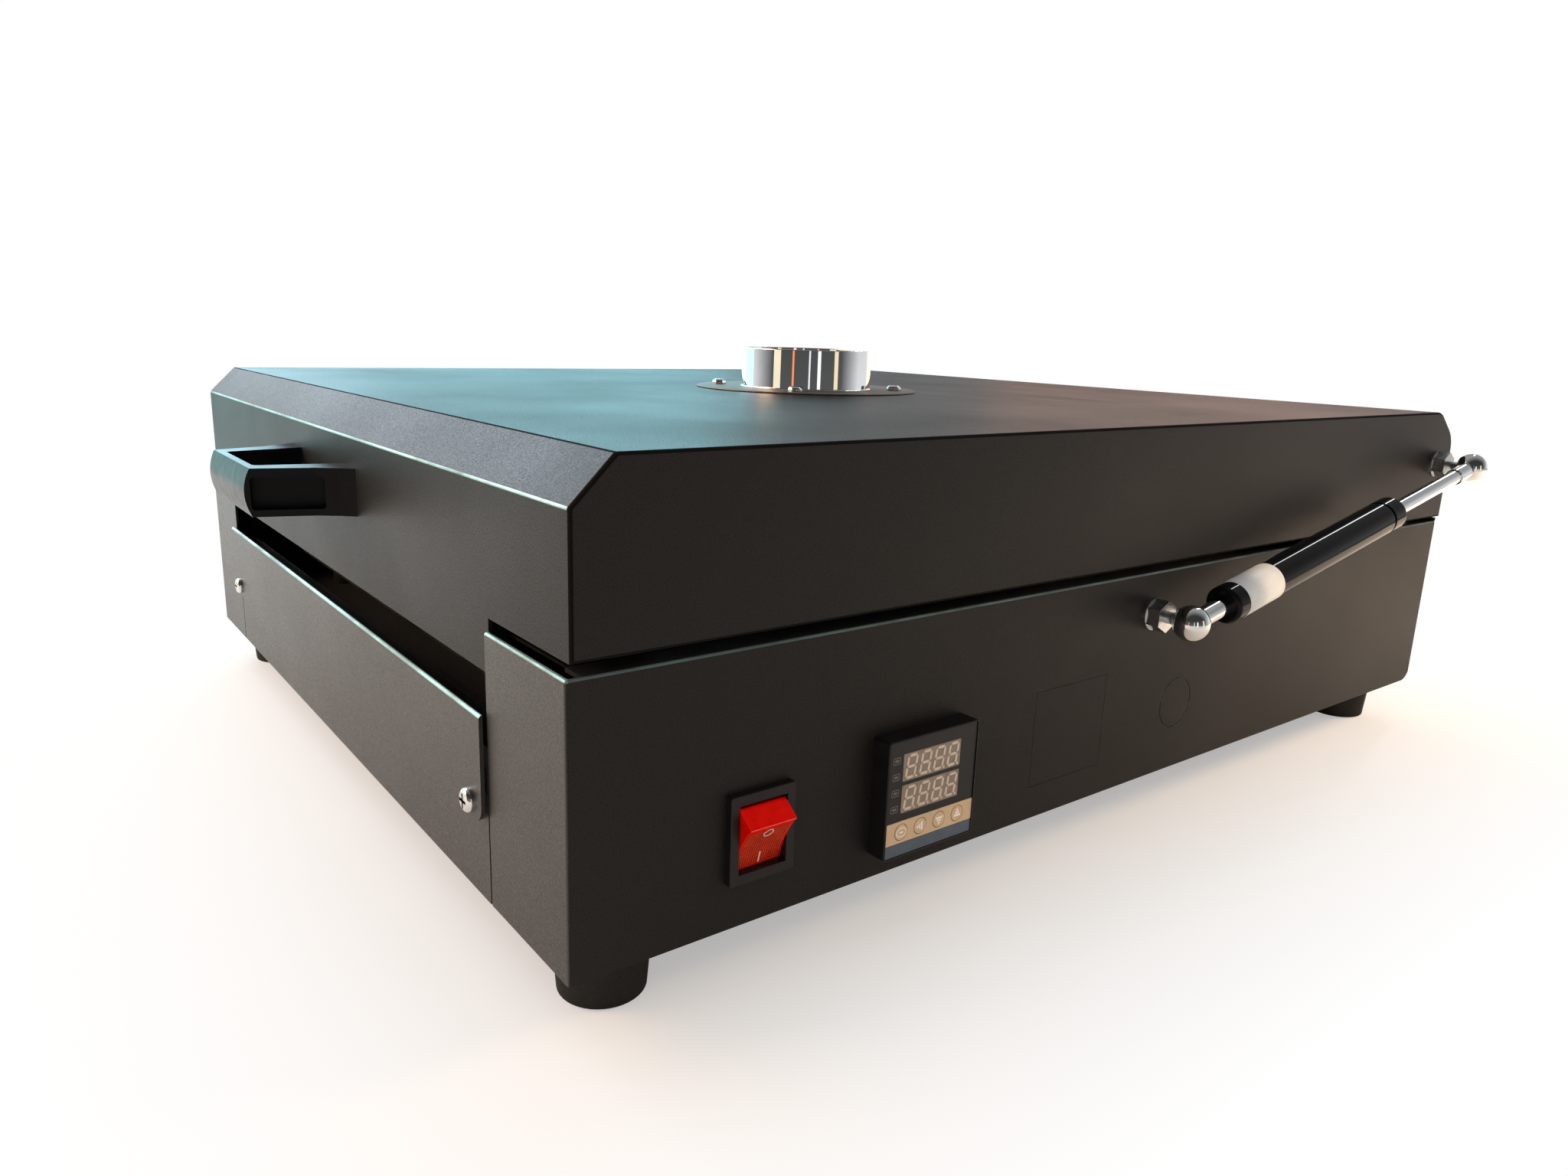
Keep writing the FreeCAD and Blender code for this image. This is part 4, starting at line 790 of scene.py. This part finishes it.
floor_material, tree, bsdf, coords = shader("floor", FLOOR_COLOUR, FLOOR_ROUGH)
bsdf.inputs["Specular IOR Level"].default_value = 0.0
rays = tree.nodes.new("ShaderNodeLightPath").outputs
beside = distance_outside(tree, coords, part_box("base_floor"))
around = remap(tree, beside, 0.0, FADE_OVER, FADE_START, 1.0)
behind = remap(tree, dot_with(tree, coords, LOOK_FLAT), *FADE_BEHIND, 0.0, 1.0)
far = combine(tree, "MAXIMUM", behind, combine(tree, "MULTIPLY", around, rays["Is Camera Ray"]))
white = tree.nodes.new("ShaderNodeEmission")
blend = tree.nodes.new("ShaderNodeMixShader")
tree.links.new(combine(tree, "MULTIPLY", seen_rays(tree), far), blend.inputs["Fac"])
tree.links.new(bsdf.outputs["BSDF"], blend.inputs[1])
tree.links.new(white.outputs["Emission"], blend.inputs[2])
tree.links.new(blend.outputs["Shader"], tree.nodes["Material Output"].inputs["Surface"])
bm = bmesh.new()
bmesh.ops.create_circle(bm, cap_ends=True, segments=96, radius=FLOOR_R)
floor_mesh = bpy.data.meshes.new("floor")
bm.to_mesh(floor_mesh)
bm.free()
floor_mesh.materials.append(floor_material)
floor = bpy.data.objects.new("floor", floor_mesh)
scene.collection.objects.link(floor)

# World: white where it is seen, mirrored as a room that dims on the near side, softer where it only lights
WHITE = (1, 1, 1, 1)
WORLD_LIGHT = 0.5
ROOM_LEVEL = 0.12
ROOM_TURN = (-0.45, 0.25)
CEILING = 0.4
CEILING_FROM = (0.05, 0.5)
world = bpy.data.worlds.new("studio")
scene.world = world
world.use_nodes = True
tree = world.node_tree
soft = tree.nodes["Background"]
soft.inputs["Color"].default_value = WHITE
soft.inputs["Strength"].default_value = WORLD_LIGHT
backdrop = tree.nodes.new("ShaderNodeBackground")
backdrop.inputs["Color"].default_value = WHITE
coords = tree.nodes.new("ShaderNodeTexCoord").outputs["Generated"]
walls = remap(tree, dot_with(tree, coords, LOOK_FLAT), *ROOM_TURN, ROOM_LEVEL, 1.0)
ceiling = remap(tree, dot_with(tree, coords, AXES[2]), *CEILING_FROM, 1.0, CEILING)
room = multiply(tree, walls, ceiling)
straight = tree.nodes.new("ShaderNodeLightPath").outputs["Is Camera Ray"]
tree.links.new(combine(tree, "MAXIMUM", room, straight), backdrop.inputs["Strength"])
blend = tree.nodes.new("ShaderNodeMixShader")
tree.links.new(seen_rays(tree), blend.inputs["Fac"])
tree.links.new(soft.outputs["Background"], blend.inputs[1])
tree.links.new(backdrop.outputs["Background"], blend.inputs[2])
tree.links.new(blend.outputs["Shader"], tree.nodes["World Output"].inputs["Surface"])

# Lamps: name, place, aim, width, height, power in watts, colour
LAMPS = (
    ("key_left", (-1.25, -0.7, 1.15), (0, 0, 0.1), 1.2, 1.2, 14.0, (0.88, 0.95, 1.0)),
    ("warm_front", (-0.75, -1.55, 0.9), (-0.1, -0.45, 0.0), 0.9, 0.9, 24.0, (1.0, 0.64, 0.38)),
    ("lilac_left", (-1.5, -0.3, 0.75), (0.0, -0.25, 0.17), 0.9, 0.5, 5.4, (0.72, 0.82, 1.0)),
    ("cool_left", (-1.6, 0.4, 0.55), (-0.1, -0.1, 0.2), 1.2, 0.9, 10.0, (0.3, 0.86, 1.0)),
    ("teal_low", (-1.45, -0.5, 0.22), (0.0, -0.3, 0.15), 0.9, 0.4, 1.3, (0.15, 0.9, 0.92)),
    ("warm_back", (-0.75, 1.75, 0.35), (0.1, 0.1, 0.19), 1.0, 0.5, 2.2, (1.0, 0.38, 0.14)),
    ("warm_right", (0.9, 1.6, 0.8), (0.48, 0.78, 0.0), 0.5, 0.5, 5.2, (1.0, 0.68, 0.4)),
    ("strip", (0.0, 1.36, 1.3), (0.2635, 0.1, 0.135), 0.06, 0.7, 3.6, (0.94, 0.97, 1.0)),
    ("glint_beige", (-0.03, -1.28, 0.25), (0, 0, 0.2), 0.3, 0.5, 0.6, (1.0, 0.86, 0.6)),
    ("glint_amber", (0.59, -1.09, 0.25), (0, 0, 0.2), 0.07, 0.5, 0.16, (1.0, 0.25, 0.04)),
    ("glint_pale", (1.07, -0.69, 0.25), (0, 0, 0.2), 0.06, 0.5, 0.12, (0.9, 0.93, 1.0)),
    ("glint_white", (1.21, -0.345, 0.25), (0, 0, 0.2), 0.12, 0.5, 0.28, (1.0, 0.98, 0.94)),
    ("glint_sand", (1.2, 0.335, 0.25), (0, 0, 0.2), 0.16, 0.5, 0.3, (1.0, 0.8, 0.5)),
)
# Lamps that only light the floor: how far they spread, in degrees
FLOOR_BEAMS = {"warm_right": 50}
for name, place, aim, width, height, power, colour in LAMPS:
    data = bpy.data.lights.new(name, "AREA")
    data.shape = "RECTANGLE"
    data.size = width
    data.size_y = height
    data.energy = power
    data.color = colour
    lamp = bpy.data.objects.new(name, data)
    scene.collection.objects.link(lamp)
    lamp.location = place
    lamp.rotation_mode = "QUATERNION"
    lamp.rotation_quaternion = (Vector(aim) - Vector(place)).to_track_quat("-Z", "Y")
    lamp.visible_camera = False
    if name in FLOOR_BEAMS:
        data.spread = math.radians(FLOOR_BEAMS[name])
        lamp.visible_glossy = False
